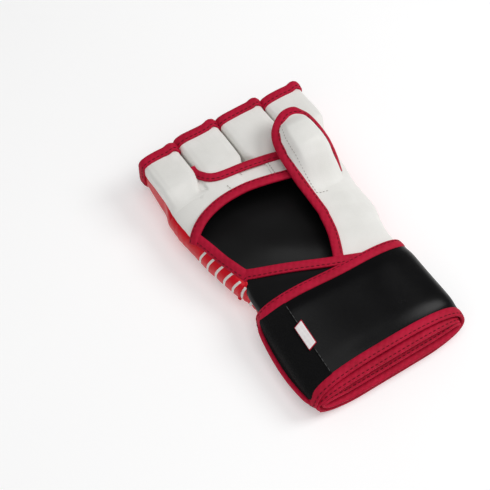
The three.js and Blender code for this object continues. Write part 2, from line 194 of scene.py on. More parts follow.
# ------------------------------------------------------------------ mesh makers
def new_object(name, points, faces, material):
    """a smooth closed mesh from points in millimetres, with its faces turned outwards"""
    mesh = bpy.data.meshes.new(name)
    mesh.from_pydata((np.asarray(points, float) * MM).tolist(), [], faces)
    body = bmesh.new()
    body.from_mesh(mesh)
    bmesh.ops.recalc_face_normals(body, faces=body.faces)
    body.to_mesh(mesh)
    body.free()
    mesh.polygons.foreach_set("use_smooth", [True] * len(mesh.polygons))
    mesh.set_sharp_from_angle(angle=math.radians(55))
    mesh.materials.append(material)
    obj = bpy.data.objects.new(name, mesh)
    bpy.context.scene.collection.objects.link(obj)
    return obj


def join(name, objects):
    """one object from several, with its materials kept"""
    bpy.ops.object.select_all(action="DESELECT")
    for obj in objects:
        obj.select_set(True)
    bpy.context.view_layer.objects.active = objects[0]
    bpy.ops.object.join()
    objects[0].name = name
    objects[0].data.name = name
    return objects[0]


def grid_faces(index, closed=False):
    """quads between the rows of a grid of point numbers; a closed grid's last column meets its first"""
    after = np.roll(index, -1, axis=1)
    quads = np.stack([index[:-1], after[:-1], after[1:], index[1:]], axis=-1)
    return quads[:, :None if closed else -1].reshape(-1, 4).tolist()


def grid_normals(points, closed):
    if closed:
        padded = np.concatenate([points[:, -1:], points, points[:, :1]], axis=1)
        across = padded[:, 2:] - padded[:, :-2]
    else:
        across = np.gradient(points, axis=1)
    return unit(np.cross(across, np.gradient(points, axis=0)))


def shell(name, place, count_u, count_v, thick, material, closed=False, relief=None, out=1):
    """a sheet with thickness: place(u, v) gives its outer surface

    The outer side is the one that u turned towards v winds round; out=-1 makes it the other side.
    """
    rim = 0.4
    columns = np.linspace(0, 1, count_u + 1)[:-1 if closed else None]
    u, v = np.meshgrid(columns, np.linspace(0, 1, count_v + 1))
    outer = place(u, v)
    normal = grid_normals(outer, closed) * out
    if relief is not None:
        outer = outer + normal * relief(outer, u, v)[..., None]
        normal = grid_normals(outer, closed) * out
    inner = outer - normal * thick
    index = np.arange(u.size).reshape(u.shape)
    girth = np.broadcast_to(thick, (*u.shape, 1)).reshape(-1, 1)
    points = [outer.reshape(-1, 3), inner.reshape(-1, 3)]
    faces = grid_faces(index, closed) + grid_faces(index + u.size, closed)

    def close_edge(loop, outward):
        """a rounded rim between the two sides"""
        middle = sum(len(part) for part in points) + np.arange(len(loop))
        points.append((points[0][loop] + points[1][loop]) / 2 + outward * rim * girth[loop])
        faces.extend(grid_faces(np.array([loop, middle, loop + u.size]), closed=True))

    outward = np.zeros_like(outer)
    outward[0] += unit(outer[0] - outer[1])
    outward[-1] += unit(outer[-1] - outer[-2])
    if closed:
        close_edge(index[0], outward[0])
        close_edge(index[-1], outward[-1])
    else:
        outward[:, 0] += unit(outer[:, 0] - outer[:, 1])
        outward[:, -1] += unit(outer[:, -1] - outer[:, -2])
        loop = np.concatenate([index[0], index[1:, -1], index[-1, -2::-1], index[-2:0:-1, 0]])
        close_edge(loop, unit(outward).reshape(-1, 3)[loop])
    return new_object(name, np.concatenate(points), faces, material)


def inside(points, outline):
    """which of the (x, y) points lie inside the outline"""
    hits = np.zeros(len(points), bool)
    x, y = points.T
    for (x0, y0), (x1, y1) in zip(outline, np.roll(outline, -1, axis=0)):
        crosses = (y0 > y) != (y1 > y)
        with np.errstate(divide="ignore", invalid="ignore"):
            at = (x1 - x0) * (y - y0) / (y1 - y0) + x0
        hits ^= crosses & (x < at)
    return hits


def panel(name, outline, height, thick, material, relief):
    """a leather panel with this (x, y) outline, lying on the surface height(x, y)"""
    spacing = 2.4
    edge = resample(outline, spacing, closed=True)
    low, high = edge.min(axis=0), edge.max(axis=0)
    xs = np.arange(low[0], high[0], spacing)
    ys = np.arange(low[1], high[1], spacing * 0.87)
    grid = np.array([(x + (spacing / 2 if k % 2 else 0), y) for k, y in enumerate(ys) for x in xs])
    grid = grid[inside(grid, edge)]
    near = np.linalg.norm(grid[:, None] - edge[None], axis=2).min(axis=1)
    flat = np.vstack([edge, grid[near > 0.6 * spacing]])
    loop = [(k, (k + 1) % len(edge)) for k in range(len(edge))]
    flat, _, triangles, *_ = delaunay_2d_cdt([Vector(p) for p in flat], loop, [], 1, 1e-4)
    x, y = np.array([tuple(p) for p in flat]).T
    surface = stack(x, y, height(x, y))
    normal = height_normals(height, x, y, 0.2)
    surface = surface + normal * relief(surface)[..., None]
    count = len(surface)
    faces = []
    edges = set()
    for a, b, c in triangles:
        faces += [(a, b, c), (count + c, count + b, count + a)]
        edges |= {(a, b), (b, c), (c, a)}
    faces += [(b, a, count + a, count + b) for a, b in sorted(edges) if (b, a) not in edges]
    return new_object(name, np.vstack([surface, surface - normal * thick]), faces, material)


def tape_frame(path, up, closed):
    """along, up and sideways directions at each point of a path"""
    if closed:
        tangent = np.roll(path, -1, axis=0) - np.roll(path, 1, axis=0)
    else:
        tangent = np.gradient(path, axis=0)
    tangent = unit(tangent)
    up = unit(up - tangent * np.sum(up * tangent, axis=1, keepdims=True))
    return tangent, up, np.cross(up, tangent)


def capsules(name, centres, along, up, length, radius, material):
    """one mesh of short rounded threads"""
    rings, sides = 5, 6
    t = np.linspace(-1, 1, rings)[:, None]
    angle = np.arange(sides) * TURN / sides
    girth = radius * (0.25 + 0.75 * np.sqrt(1 - t * t))
    shape = stack(t * length / 2, girth * np.cos(angle), girth * np.sin(angle))
    axes = np.stack([along, np.cross(up, along), up], axis=1)
    points = centres[:, None] + shape.reshape(-1, 3) @ axes
    faces = []
    for index in np.arange(len(centres) * rings * sides).reshape(-1, rings, sides):
        faces += [*grid_faces(index, closed=True), index[0].tolist(), index[-1].tolist()]
    return new_object(name, points.reshape(-1, 3), faces, material)


def stitches(name, path, up, lift, material, offset=0.0, closed=False, length=2.3, radius=0.33,
             pitch=STITCH_PITCH, span=(0, -1)):
    """a row of stitches along a path, lift above it and offset sideways, over a span of its points"""
    tangent, top, side = tape_frame(path, up, closed)
    row = path + side * offset + top * lift
    at = run_length(row)
    places = np.arange(pitch / 2, at[-1], pitch)
    places = places[(places >= at[span[0]]) & (places < at[span[1]])]
    along = unit(pick(tangent, at, places))
    return capsules(name, pick(row, at, places), along, unit(pick(top, at, places)), length, radius, material)


def tape(names, path, up, cuts=(), width=TAPE_WIDTH, thick=TAPE_THICKNESS, closed=False, seam=1):
    """a folded edge tape swept along a path, with a stitched groove on its seam side (1 left, -1 right)

    It is cut at these points of the path into one piece for each name, so the pieces meet exactly.
    """
    tangent, top, side = tape_frame(path, up, closed)
    count = 18
    angle = np.arange(count) * TURN / count
    across = signed_power(np.cos(angle), 0.75) * width / 2
    rise = signed_power(np.sin(angle), 0.8) * thick / 2
    groove_at = seam * 0.27 * width
    groove = 0.5 * np.exp(-((across - groove_at) / 0.75) ** 2) * (rise > 0)
    pucker = 0.22 * np.cos(TURN * run_length(path) / STITCH_PITCH)[:, None]
    roll = soft_noise(path, 22.0, 2.43)[:, None] * 0.35
    height = rise * (1 + 0.12 * roll) - groove * (1 + pucker)
    reach = across * (1 + 0.05 * roll)
    rings = path[:, None] + side[:, None] * reach[..., None] + top[:, None] * height[..., None]
    limits = [0, *cuts, len(path) - 1]
    pieces = []
    for name, first, last in zip(names, limits, limits[1:]):
        points = rings[first:last + 1].reshape(-1, 3)
        index = np.arange(len(points)).reshape(-1, count)
        if closed:
            faces = grid_faces(np.vstack([index, index[:1]]), closed=True)
        else:
            faces = grid_faces(index, closed=True)
            bulges = (-0.5 * (first == 0), 0.5 * (last == len(path) - 1))
            for end, row, bulge in zip((first, last), (index[0], index[-1]), bulges):
                faces += [(row[c], row[c - 1], len(points)) for c in range(count)]
                points = np.vstack([points, path[end] + tangent[end] * bulge])
        band = new_object(name, points, faces, CRIMSON)
        row = stitches(name + "_stitches", path, up, thick / 2 - 0.5, RED_THREAD, groove_at, closed,
                       span=(first, last))
        pieces.append(join(name, [band, row]))
    return pieces


# ------------------------------------------------------------------ materials
def linear(red, green, blue):
    """a linear colour from 0-255 screen values"""
    def channel(value):
        value /= 255
        return value / 12.92 if value <= 0.04045 else ((value + 0.055) / 1.055) ** 2.4
    return (channel(red), channel(green), channel(blue), 1.0)


class Look:
    """a small builder for one procedural material"""

    def __init__(self, name):
        self.material = bpy.data.materials.new(name)
        self.material.use_nodes = True
        self.tree = self.material.node_tree
        self.shader = self.tree.nodes["Principled BSDF"]
        self.place = self.node("ShaderNodeTexCoord").outputs["Object"]

    def node(self, kind, settings=None, **inputs):
        made = self.tree.nodes.new(kind)
        for key, value in (settings or {}).items():
            setattr(made, key, value)
        for key, value in inputs.items():
            self.feed(made.inputs[key.replace("_", " ")], value)
        return made

    def feed(self, socket, value):
        if isinstance(value, bpy.types.NodeSocket):
            self.tree.links.new(value, socket)
        else:
            socket.default_value = value

    def noise(self, scale, detail=4.0, rough=0.55, distort=0.0):
        made = self.node("ShaderNodeTexNoise", Vector=self.place, Scale=scale, Detail=detail,
                         Roughness=rough, Distortion=distort)
        return made.outputs["Fac"]

    def cells(self, scale, feature="DISTANCE_TO_EDGE"):
        made = self.node("ShaderNodeTexVoronoi", {"feature": feature}, Vector=self.place, Scale=scale)
        return made.outputs["Distance"]

    def sum(self, a, b, share):
        """a + share * b"""
        made = self.node("ShaderNodeMath", {"operation": "MULTIPLY_ADD"})
        for socket, value in zip(made.inputs, (b, share, a)):
            self.feed(socket, value)
        return made.outputs["Value"]

    def colour(self, value, dark_at, dark, light_at, light):
        """the base colour, from dark to light as the value rises between two marks"""
        made = self.node("ShaderNodeValToRGB", Fac=value)
        for element, at, shade in zip(made.color_ramp.elements, (dark_at, light_at), (dark, light)):
            element.position = at
            element.color = linear(*shade)
        self.set(Base_Color=made.outputs["Color"])

    def rough(self, value, low, high):
        """the roughness, from low to high as the value goes from 0 to 1"""
        made = self.node("ShaderNodeMapRange", Value=value, To_Min=low, To_Max=high)
        self.set(Roughness=made.outputs["Result"])

    def bump(self, height, strength, depth_mm):
        made = self.node("ShaderNodeBump", Height=height, Strength=strength, Distance=depth_mm * MM)
        self.set(Normal=made.outputs["Normal"])

    def set(self, **values):
        for key, value in values.items():
            self.feed(self.shader.inputs[key.replace("_", " ")], value)


def leather(name, light, dark, rough, coat, coat_rough, grain_mm, depth_mm, shine=0.4):
    """grained leather: fine cells, broad soft mottling and a little change of gloss"""
    look = Look(name)
    grain = look.cells(1000 / grain_mm)
    fine = look.noise(2600 / grain_mm, 3.0, 0.6)
    broad = look.noise(38.0, 5.0, 0.6, 0.4)
    look.colour(look.sum(broad, grain, 0.25), 0.30, dark, 0.72, light)
    look.rough(look.noise(90.0, 3.0), rough - 0.07, rough + 0.07)
    look.set(Coat_Weight=coat, Coat_Roughness=coat_rough, Specular_IOR_Level=shine)
    look.bump(look.sum(grain, fine, 0.35), 0.55, depth_mm)
    return look.material


def woven(name, light, dark, rough, thread_mm, sheen, slant=0.8):
    """close woven tape: two crossed sets of ribs with fibre noise"""
    look = Look(name)
    turned = look.node("ShaderNodeMapping", Vector=look.place, Rotation=(0.35, 0.2, slant)).outputs["Vector"]
    ribs = []
    for axis in "XY":
        wave = look.node("ShaderNodeTexWave", {"bands_direction": axis}, Vector=turned,
                         Scale=1000 / thread_mm / 20, Distortion=0.6, Detail=2.0, Detail_Scale=2.0)
        ribs.append(wave.outputs["Fac"])
    weave = look.sum(*ribs, 0.7)
    fibres = look.noise(1900.0, 4.0, 0.7)
    look.colour(look.sum(look.noise(60.0), weave, 0.12), 0.30, dark, 0.75, light)
    look.rough(fibres, rough - 0.08, rough + 0.08)
    look.set(Sheen_Weight=sheen, Sheen_Roughness=0.4, Specular_IOR_Level=0.15)
    look.bump(look.sum(weave, fibres, 0.5), 0.5, 0.16)
    return look.material


def fuzzy(name, light, dark, depth_mm, scale):
    """hook or loop pile: matte, finely tangled"""
    look = Look(name)
    tangle = look.noise(scale, 8.0, 0.75, 1.2)
    curls = look.cells(scale * 0.8, "F1")
    look.colour(look.sum(tangle, curls, 0.3), 0.35, dark, 0.8, light)
    look.set(Roughness=0.95, Sheen_Weight=0.04, Sheen_Roughness=0.6, Specular_IOR_Level=0.1)
    look.bump(look.sum(tangle, curls, 0.8), 0.9, depth_mm)
    return look.material


def satin(name, light, dark, rough):
    """smooth lining cloth with soft wrinkles in its gloss"""
    look = Look(name)
    broad = look.noise(30.0, 4.0, 0.5, 0.6)
    look.colour(broad, 0.3, dark, 0.75, light)
    look.rough(broad, rough - 0.06, rough + 0.1)
    look.set(Sheen_Weight=0.02, Sheen_Roughness=0.35, Specular_IOR_Level=0.25)
    look.bump(look.sum(look.noise(1500.0, 2.0, 0.6), look.noise(120.0), 0.8), 0.35, 0.1)
    return look.material


def thread(name, light, dark):
    """twisted sewing thread"""
    look = Look(name)
    twist = look.noise(2400.0, 3.0, 0.6)
    look.colour(twist, 0.3, dark, 0.7, light)
    look.set(Roughness=0.7, Specular_IOR_Level=0.2)
    look.bump(twist, 0.6, 0.08)
    return look.material


def cellular_foam(name, light, dark):
    look = Look(name)
    pores = look.cells(900.0, "F1")
    look.colour(pores, 0.1, dark, 0.6, light)
    look.set(Roughness=0.95)
    look.bump(pores, 0.7, 0.25)
    return look.material


RED = leather("red_leather", (222, 8, 36), (196, 5, 28), 0.35, 0.06, 0.2, 1.0, 0.09, 0.18)
WHITE = leather("white_leather", (243, 242, 238), (234, 233, 228), 0.46, 0.05, 0.35, 1.1, 0.10, 0.35)
BLACK = leather("black_leather", (8, 8, 9), (4, 4, 5), 0.25, 0.0, 0.3, 0.9, 0.06, 0.115)
WRAP_BLACK = leather("glossy_black_leather", (13, 13, 14), (8, 8, 9), 0.2, 0.05, 0.1, 1.0, 0.07, 0.2)
BAND = leather("black_print", (13, 12, 13), (8, 8, 8), 0.34, 0.1, 0.2, 1.0, 0.07, 0.3)
STRIPE = leather("white_print", (236, 232, 228), (214, 208, 204), 0.5, 0.05, 0.4, 0.8, 0.05)
LINING = satin("satin_lining", (11, 11, 12), (7, 7, 7), 0.36)
DEEP_LINING = satin("crimson_lining", (126, 12, 36), (92, 7, 25), 0.5)
FOAM = cellular_foam("padding_foam", (96, 96, 98), (58, 58, 60))
CRIMSON = woven("crimson_tape", (190, 19, 56), (163, 12, 42), 0.62, 0.55, 0.0)
LABEL = woven("label_cloth", (246, 241, 241), (233, 227, 228), 0.7, 0.4, 0.1, 0.0)
HOOK = fuzzy("hook_webbing", (14, 14, 15), (5, 5, 6), 0.3, 1100.0)
LOOP = fuzzy("loop_pile", (24, 24, 25), (11, 11, 12), 0.5, 700.0)
RED_THREAD = thread("crimson_thread", (116, 6, 30), (88, 2, 20))
WHITE_THREAD = thread("white_thread", (190, 188, 182), (158, 156, 150))
SEAM_THREAD = thread("grey_thread", (96, 96, 96), (62, 62, 63))


# ------------------------------------------------------------------ putting pieces on bodies
def settle(piece, body, slot, *nodes):
    """a piece that rides on one body, or, given the two bodies of a bend, is only baked where it lies, and
    stands for these CAD nodes
    """
    if isinstance(body, str):
        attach(piece, body)
    else:
        first, second, start, end = body
        tuple(np.array(start) * MM)
        tuple(np.array(end) * MM)
        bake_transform(piece)
    if nodes:
        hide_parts(*nodes)


def finger_bend(name):
    middle = (FINGERS[name]["from"] + FINGERS[name]["to"]) / 2
    start, end = (middle, FLEX_LINE - 7, PALM_LEVEL), (middle, FLEX_LINE + 9, PALM_LEVEL)
    return ("hand", f"{name}_sleeve", start, end)


# the two bodies of a bend, and the points in millimetres where it starts and ends
WRIST_BEND = ("hand", "cuff", (0, WRIST_LINE + 10, 1), (0, WRIST_LINE - 10, 1))
THUMB_BEND = ("hand", "thumb_sleeve", (30, THUMB_ROOT - 13, 33), (30, THUMB_ROOT + 9, 33))
STRAP_BEND = ("cuff", "strap", (STRAP_FOLD + 10, 0, 30), (STRAP_FOLD - 10, 0, 30))
TIP_BEND = ("strap", "strap_tip", (TIP_FOLD + 5, 0, 30), (TIP_FOLD - 7, 0, 30))


# ------------------------------------------------------------------ the hand tube
ULNAR_SEAM = math.radians(159)
RADIAL_SEAM = math.radians(367)


def hand_centre(y):
    return np.interp(y, [WRIST_LINE, -5, 15, 45, FLEX_LINE], [-1, -0.8, -3.0, -2.7, -1.2])


def hand_half(y):
    return np.interp(y, [-40, WRIST_LINE, -5, 15, 45, FLEX_LINE], [50.5, 51, 55.6, 57.5, 61.3, 62.8])


def hand_palm(y):
    return np.interp(y, [-40, WRIST_LINE, 15, FLEX_LINE], [27, 29, 30.5, PALM_LEVEL])


def palm(x, y):
    """height of the palm surface"""
    s = np.clip((x - hand_centre(y)) / hand_half(y), -0.985, 0.985)
    return HAND_MIDDLE + (hand_palm(y) - HAND_MIDDLE) * bow(s, HAND_ROUNDNESS)


def hand_wall(angle, y, depth=0.0):
    """a point of the hand tube: angle 0 is the thumb edge, 90 degrees the palm, 270 the back"""
    c, s = np.cos(angle), np.sin(angle)
    reach = np.where(s > 0, hand_palm(y) - HAND_MIDDLE, HAND_DROP) - depth
    x = hand_centre(y) + (hand_half(y) - depth) * signed_power(c, 2 / HAND_ROUNDNESS)
    z = HAND_MIDDLE + reach * signed_power(s, 2 / HAND_ROUNDNESS)
    return stack(x, y, np.maximum(z, depth))


def angle_at(x, y):
    """the palm-side angle of the hand tube at this x"""
    s = np.clip((x - hand_centre(y)) / hand_half(y), -1, 1)
    return np.arccos(signed_power(s, HAND_ROUNDNESS / 2))


def ulnar_seam(y):
    """angle of the red leather's edge on the little-finger side: below the palm it runs up under the tape"""
    return np.radians(np.interp(y, [-22, -8, 0, 24, 36], [163, 152, 149, 149, 159]))


def before_fingers(points):
    """1 on the hand, falling to 0 where the sleeves begin"""
    return 1 - smooth(SHELL_END - 7, SHELL_END, points[..., 1])


def soft_relief(amount, scale, seed, fold=0.0, along=(1, 0, 0), spacing=9.0, level=True):
    """broad soft waves in leather, with optional folds across one direction, level where the fingers begin"""
    def relief(points, *_):
        height = soft_noise(points, scale, seed) * amount
        if fold:
            height = height - fold * creases(points, along, spacing, seed)
        return height * (before_fingers(points) if level else 1)
    return relief


def above_floor(place, low=0.05):
    """keeps an outer surface from dropping under the surface the glove lies on"""
    def kept(u, v):
        points = place(u, v)
        points[..., 2] = np.maximum(points[..., 2], low)
        return points
    return kept


def lofted(start, end, section):
    """place(u, v) from section(y, shares), the points of one cross-section, for y from start to end"""
    def place(u, v):
        return np.array([section(y, share) for y, share in zip(mix(start, end, v[:, 0]), u)])
    return place


def tucked(share, u):
    """1 at the two side edges of a sheet, falling to 0 over this share of its width"""
    return 1 - smooth(0, share, u) * smooth(0, share, 1 - u)


# ------------------------------------------------------------------ back of the hand
SEAM_LAP = 0.07
FLOOR_GAP = 0.35
STRIPES = 7
BACK_BANDS = ((4, 40, 7, 8.0), (40, 2, -6, 6.5), (20, 24, 16, 4.2))


def back_relief(points, *_):
    """puffy padding: broad waves, quiet where the glove lies on its back"""
    waves = 0.55 * soft_noise(points, 26, 3)
    pinches = 0.35 * creases(points, (0.25, 1, 0), 8.0, 5)
    return (waves - pinches) * smooth(0.5, 6, points[..., 2]) * before_fingers(points)


def build_back():
    def place(u, v):
        y = mix(PAD_END, SHELL_END, v)
        points = hand_wall(mix(ulnar_seam(y) - SEAM_LAP, RADIAL_SEAM + SEAM_LAP, u), y)
        end_roll = 1.4 * (1 - smooth(PAD_END, PAD_END + 6, y))
        points[..., 2] += end_roll * (points[..., 2] < 8)
        return points

    def cover_relief(points, u, v):
        return back_relief(points) - 1.1 * tucked(0.035, u)

    cover = shell("back_shell_leather", above_floor(place, FLOOR_GAP), 150, 60, PADDED_LEATHER, RED, out=-1,
                  relief=cover_relief)

    # plain black bands printed across the back, each a little over the last
    bands = []
    for k, (start_y, end_y, rise, width) in enumerate(BACK_BANDS):
        level = 0.25 - 0.08 * k

        def band_place(u, v, start_y=start_y, end_y=end_y, rise=rise, width=width, level=level):
            swell = np.sqrt(np.maximum(np.sin(math.pi * u), 0))
            y = mix(start_y, end_y, u) + rise * np.sin(math.pi * u) + (v - 0.5) * (1.0 + width * swell)
            return hand_wall(np.radians(mix(196, 344, u)), y, level - 0.45)

        bands.append(shell(f"back_band_{k}", above_floor(band_place, level), 120, 6, 0.5, BAND, out=-1,
                           relief=back_relief))
    settle(join("back_shell_leather", [cover, *bands]), "hand", "red_leather", "back_shell")

    def flex_depth(angle, y):
        """the flex panel lies deeper on the little-finger side, where the wrap covers it"""
        little_side = 1 - smooth(math.radians(178), math.radians(196), angle)
        return 0.9 + 2.0 * (1 - smooth(-24, -6, y)) * little_side

    def flex_place(u, v):
        y = mix(WRIST_LINE - 14, PAD_END + 4, v)
        angle = mix(ulnar_seam(y) - SEAM_LAP, RADIAL_SEAM + 0.1, u)
        return hand_wall(angle, y, flex_depth(angle, y))

    def flex_relief(points, *_):
        return 0.25 * np.cos(TURN * points[..., 1] / 3.7) * smooth(0.3, 3, points[..., 2])

    flex = shell("wrist_flex_leather", above_floor(flex_place, FLOOR_GAP), 130, 44, PALM_LEATHER, RED, out=-1,
                 relief=flex_relief)
    settle(flex, WRIST_BEND, "red_leather", "wrist_flex_panel")

    # thin white lines over the little-finger edge; the last ones run on across the back of the wrist
    stripes = []
    for k in range(STRIPES):
        centre = 24 - 7.4 * k
        crosses = centre < PAD_END + 4

        def stripe_place(u, v, centre=centre, crosses=crosses):
            angle = mix(ulnar_seam(centre) + 0.05, math.radians(336 if crosses else 204), u)
            sweep = 4.0 * np.sin(np.clip(angle - math.pi, 0, math.pi))
            y = centre + (v - 0.5) * 1.4 + (sweep if crosses else 0.4 * sweep - 3.0 * (1 - u))
            return hand_wall(angle, y, flex_depth(angle, y) - 0.45 if crosses else -0.22)

        stripes.append(shell(f"wrist_stripe_{k}", above_floor(stripe_place), 110 if crosses else 34, 2, 0.7,
                             STRIPE, out=-1, relief=flex_relief if crosses else back_relief))
    settle(join("wrist_stripes", stripes), WRIST_BEND, "white_leather")

    def lining_section(y, share):
        """down the little-finger side, over the pad and up under the thumb's base"""
        depth = 2.9 + 2.1 * (1 - smooth(-24, -6, y))
        left = hand_wall(np.linspace(ulnar_seam(y) - 0.11, math.pi, 8), y, depth)
        right = hand_wall(np.linspace(TURN, TURN + angle_at(thumb_base_inner(y) + 3, y), 24), y, depth)
        s = np.linspace(-1, 1, 40)
        x = hand_centre(y) + (hand_half(y) - 8.5) * s
        fold = 1.1 * np.exp(-((0.55 * x + 0.83 * y + 4) / 9) ** 2) * smooth(-40, -10, x)
        z = LINING_LEVEL + 1.2 * bow(s, 2.0) - 3.5 * (1 - smooth(-34, 12, y)) + fold
        return along_line(np.vstack([left, stack(x, y, z), right]), share)

    def lining_relief(points, *_):
        return 0.6 * soft_noise(points, 34, 11) * (1 - smooth(15.5, 18, points[..., 2]))

    lining = shell("back_lining_satin", lofted(WRIST_LINE - 17, SHELL_END + 3, lining_section), 110, 70, 1.0,
                   LINING, relief=lining_relief)
    settle(lining, WRIST_BEND, "lining", "back_lining")

    def foam_place(u, v):
        y = mix(PAD_END + 3, SHELL_END - 1, v)
        s = mix(-1, 1, u)
        return stack(hand_centre(y) + (hand_half(y) - 8) * s, y, 12.6 - 3.2 * (1 - v) - 1.5 * s * s)

    cells = 30
    points = foam_place(*np.meshgrid(np.linspace(0, 1, cells + 1), np.linspace(0, 1, cells + 1)))
    thick = np.maximum(points[..., 2] - 2.6 - 6.0 * np.abs(points[..., 0] / 60) ** 4, 1.0)
    foam = shell("knuckle_foam_pad", foam_place, cells, cells, thick[..., None], FOAM)
    settle(foam, "hand", "foam", "knuckle_foam")


# ------------------------------------------------------------------ finger sleeves
SEAM_LEVELS = {"little": (21.0, 12.0), "ring": (12.0, 12.0), "middle": (12.0, 12.0), "index": (12.0, 16.0)}
SLEEVE_GAP = 0.2
PALM_CORNER = 3.6


def sleeve_share(name, y):
    """how far along a sleeve y is: 0 at its root and 1 at its tip"""
    return (y - SHELL_END) / (FINGERS[name]["tip"] - SHELL_END)


def sleeve_low(t):
    return 5.2 * t * t


def sleeve_top(t):
    return PALM_LEVEL - 1.3 * t


def back_corner(t):
    return 7.5 + 2.0 * t


def half_line(up, x0, x1, level, seams, radius):
    """x and z along half a sleeve from its little-finger side: up=1 is the palm half, up=-1 the back"""
    def corner(cx, start, stop):
        angle = np.radians(np.linspace(start, stop, 10))
        return np.stack([cx + radius * np.cos(angle), level - up * radius + radius * np.sin(angle)], axis=1)

    across = np.linspace(x0 + radius, x1 - radius, 14)[1:-1]
    crown = 0.9 * (up > 0) * (1 - ((across - (x0 + x1) / 2) / ((x1 - x0) / 2)) ** 2)
    return np.vstack([
        [[x0, seams[0]]], corner(x0 + radius, 180, 180 - 90 * up),
        np.stack([across, level + crown], axis=1),
        corner(x1 - radius, 90 * up, 0), [[x1, seams[1]]],
    ])


def sleeve_loop(x0, x1, low, top, seam, low_radius, top_radius):
    """x and z along a sleeve's whole outline, with its last point on its first"""
    lower = half_line(-1, x0, x1, low, (seam, seam), low_radius)
    upper = half_line(1, x0, x1, top, (seam, seam), top_radius)
    return np.vstack([lower[:-1], upper[::-1]])


def between(name):
    """the x limits of a finger's share of the hand tube, half way across each gap; None at its outer edges"""
    order = list(FINGERS)
    k = order.index(name)
    low = (FINGERS[order[k - 1]]["to"] + FINGERS[name]["from"]) / 2 if k > 0 else None
    high = (FINGERS[name]["to"] + FINGERS[order[k + 1]]["from"]) / 2 if k < len(order) - 1 else None
    return low, high


def hand_slice(name, upper, y, depth):
    """the hand tube's own line over one finger, on the palm side or the back"""
    def angle(x, seam):
        if x is None:
            return seam
        return angle_at(x, y) if upper else TURN - angle_at(x, y)

    low, high = between(name)
    radial = RADIAL_SEAM - TURN if upper else RADIAL_SEAM
    return hand_wall(np.linspace(angle(low, ULNAR_SEAM), angle(high, radial), 60), y, depth)


def sleeve_surface(name, upper, start, end, depth=0.0):
    """place(u, v) for one half of a finger sleeve, growing out of the hand tube"""
    x0, x1 = FINGERS[name]["from"] + SLEEVE_GAP, FINGERS[name]["to"] - SLEEVE_GAP
    seams = np.array(SEAM_LEVELS[name])

    def section(y, share):
        t = sleeve_share(name, y)
        if upper:
            line = half_line(1, x0, x1, sleeve_top(t), seams, PALM_CORNER)
        else:
            line = half_line(-1, x0, x1, sleeve_low(t), seams + 2.5, back_corner(t))
        x, z = along_line(line, share).T
        hand = along_line(hand_slice(name, upper, y, depth), share)
        return mix(hand, stack(x, y, z), smooth(SHELL_END, SHELL_END + 15, y))

    return lofted(start, end, section)


def finger_relief(name, amount, fold):
    seed = list(FINGERS).index(name) * 2.7
    tip = FINGERS[name]["tip"]

    def relief(points, *_):
        waves = amount * soft_noise(points, 15, seed)
        y, z = points[..., 1], points[..., 2]
        gather = fold * creases(points, (1, 0.15, 0.4), 3.6, seed + 1) * smooth(tip - 20, tip - 6, y)
        return (waves - gather) * smooth(0.3, 3, z) * smooth(SHELL_END, SHELL_END + 6, y)
    return relief


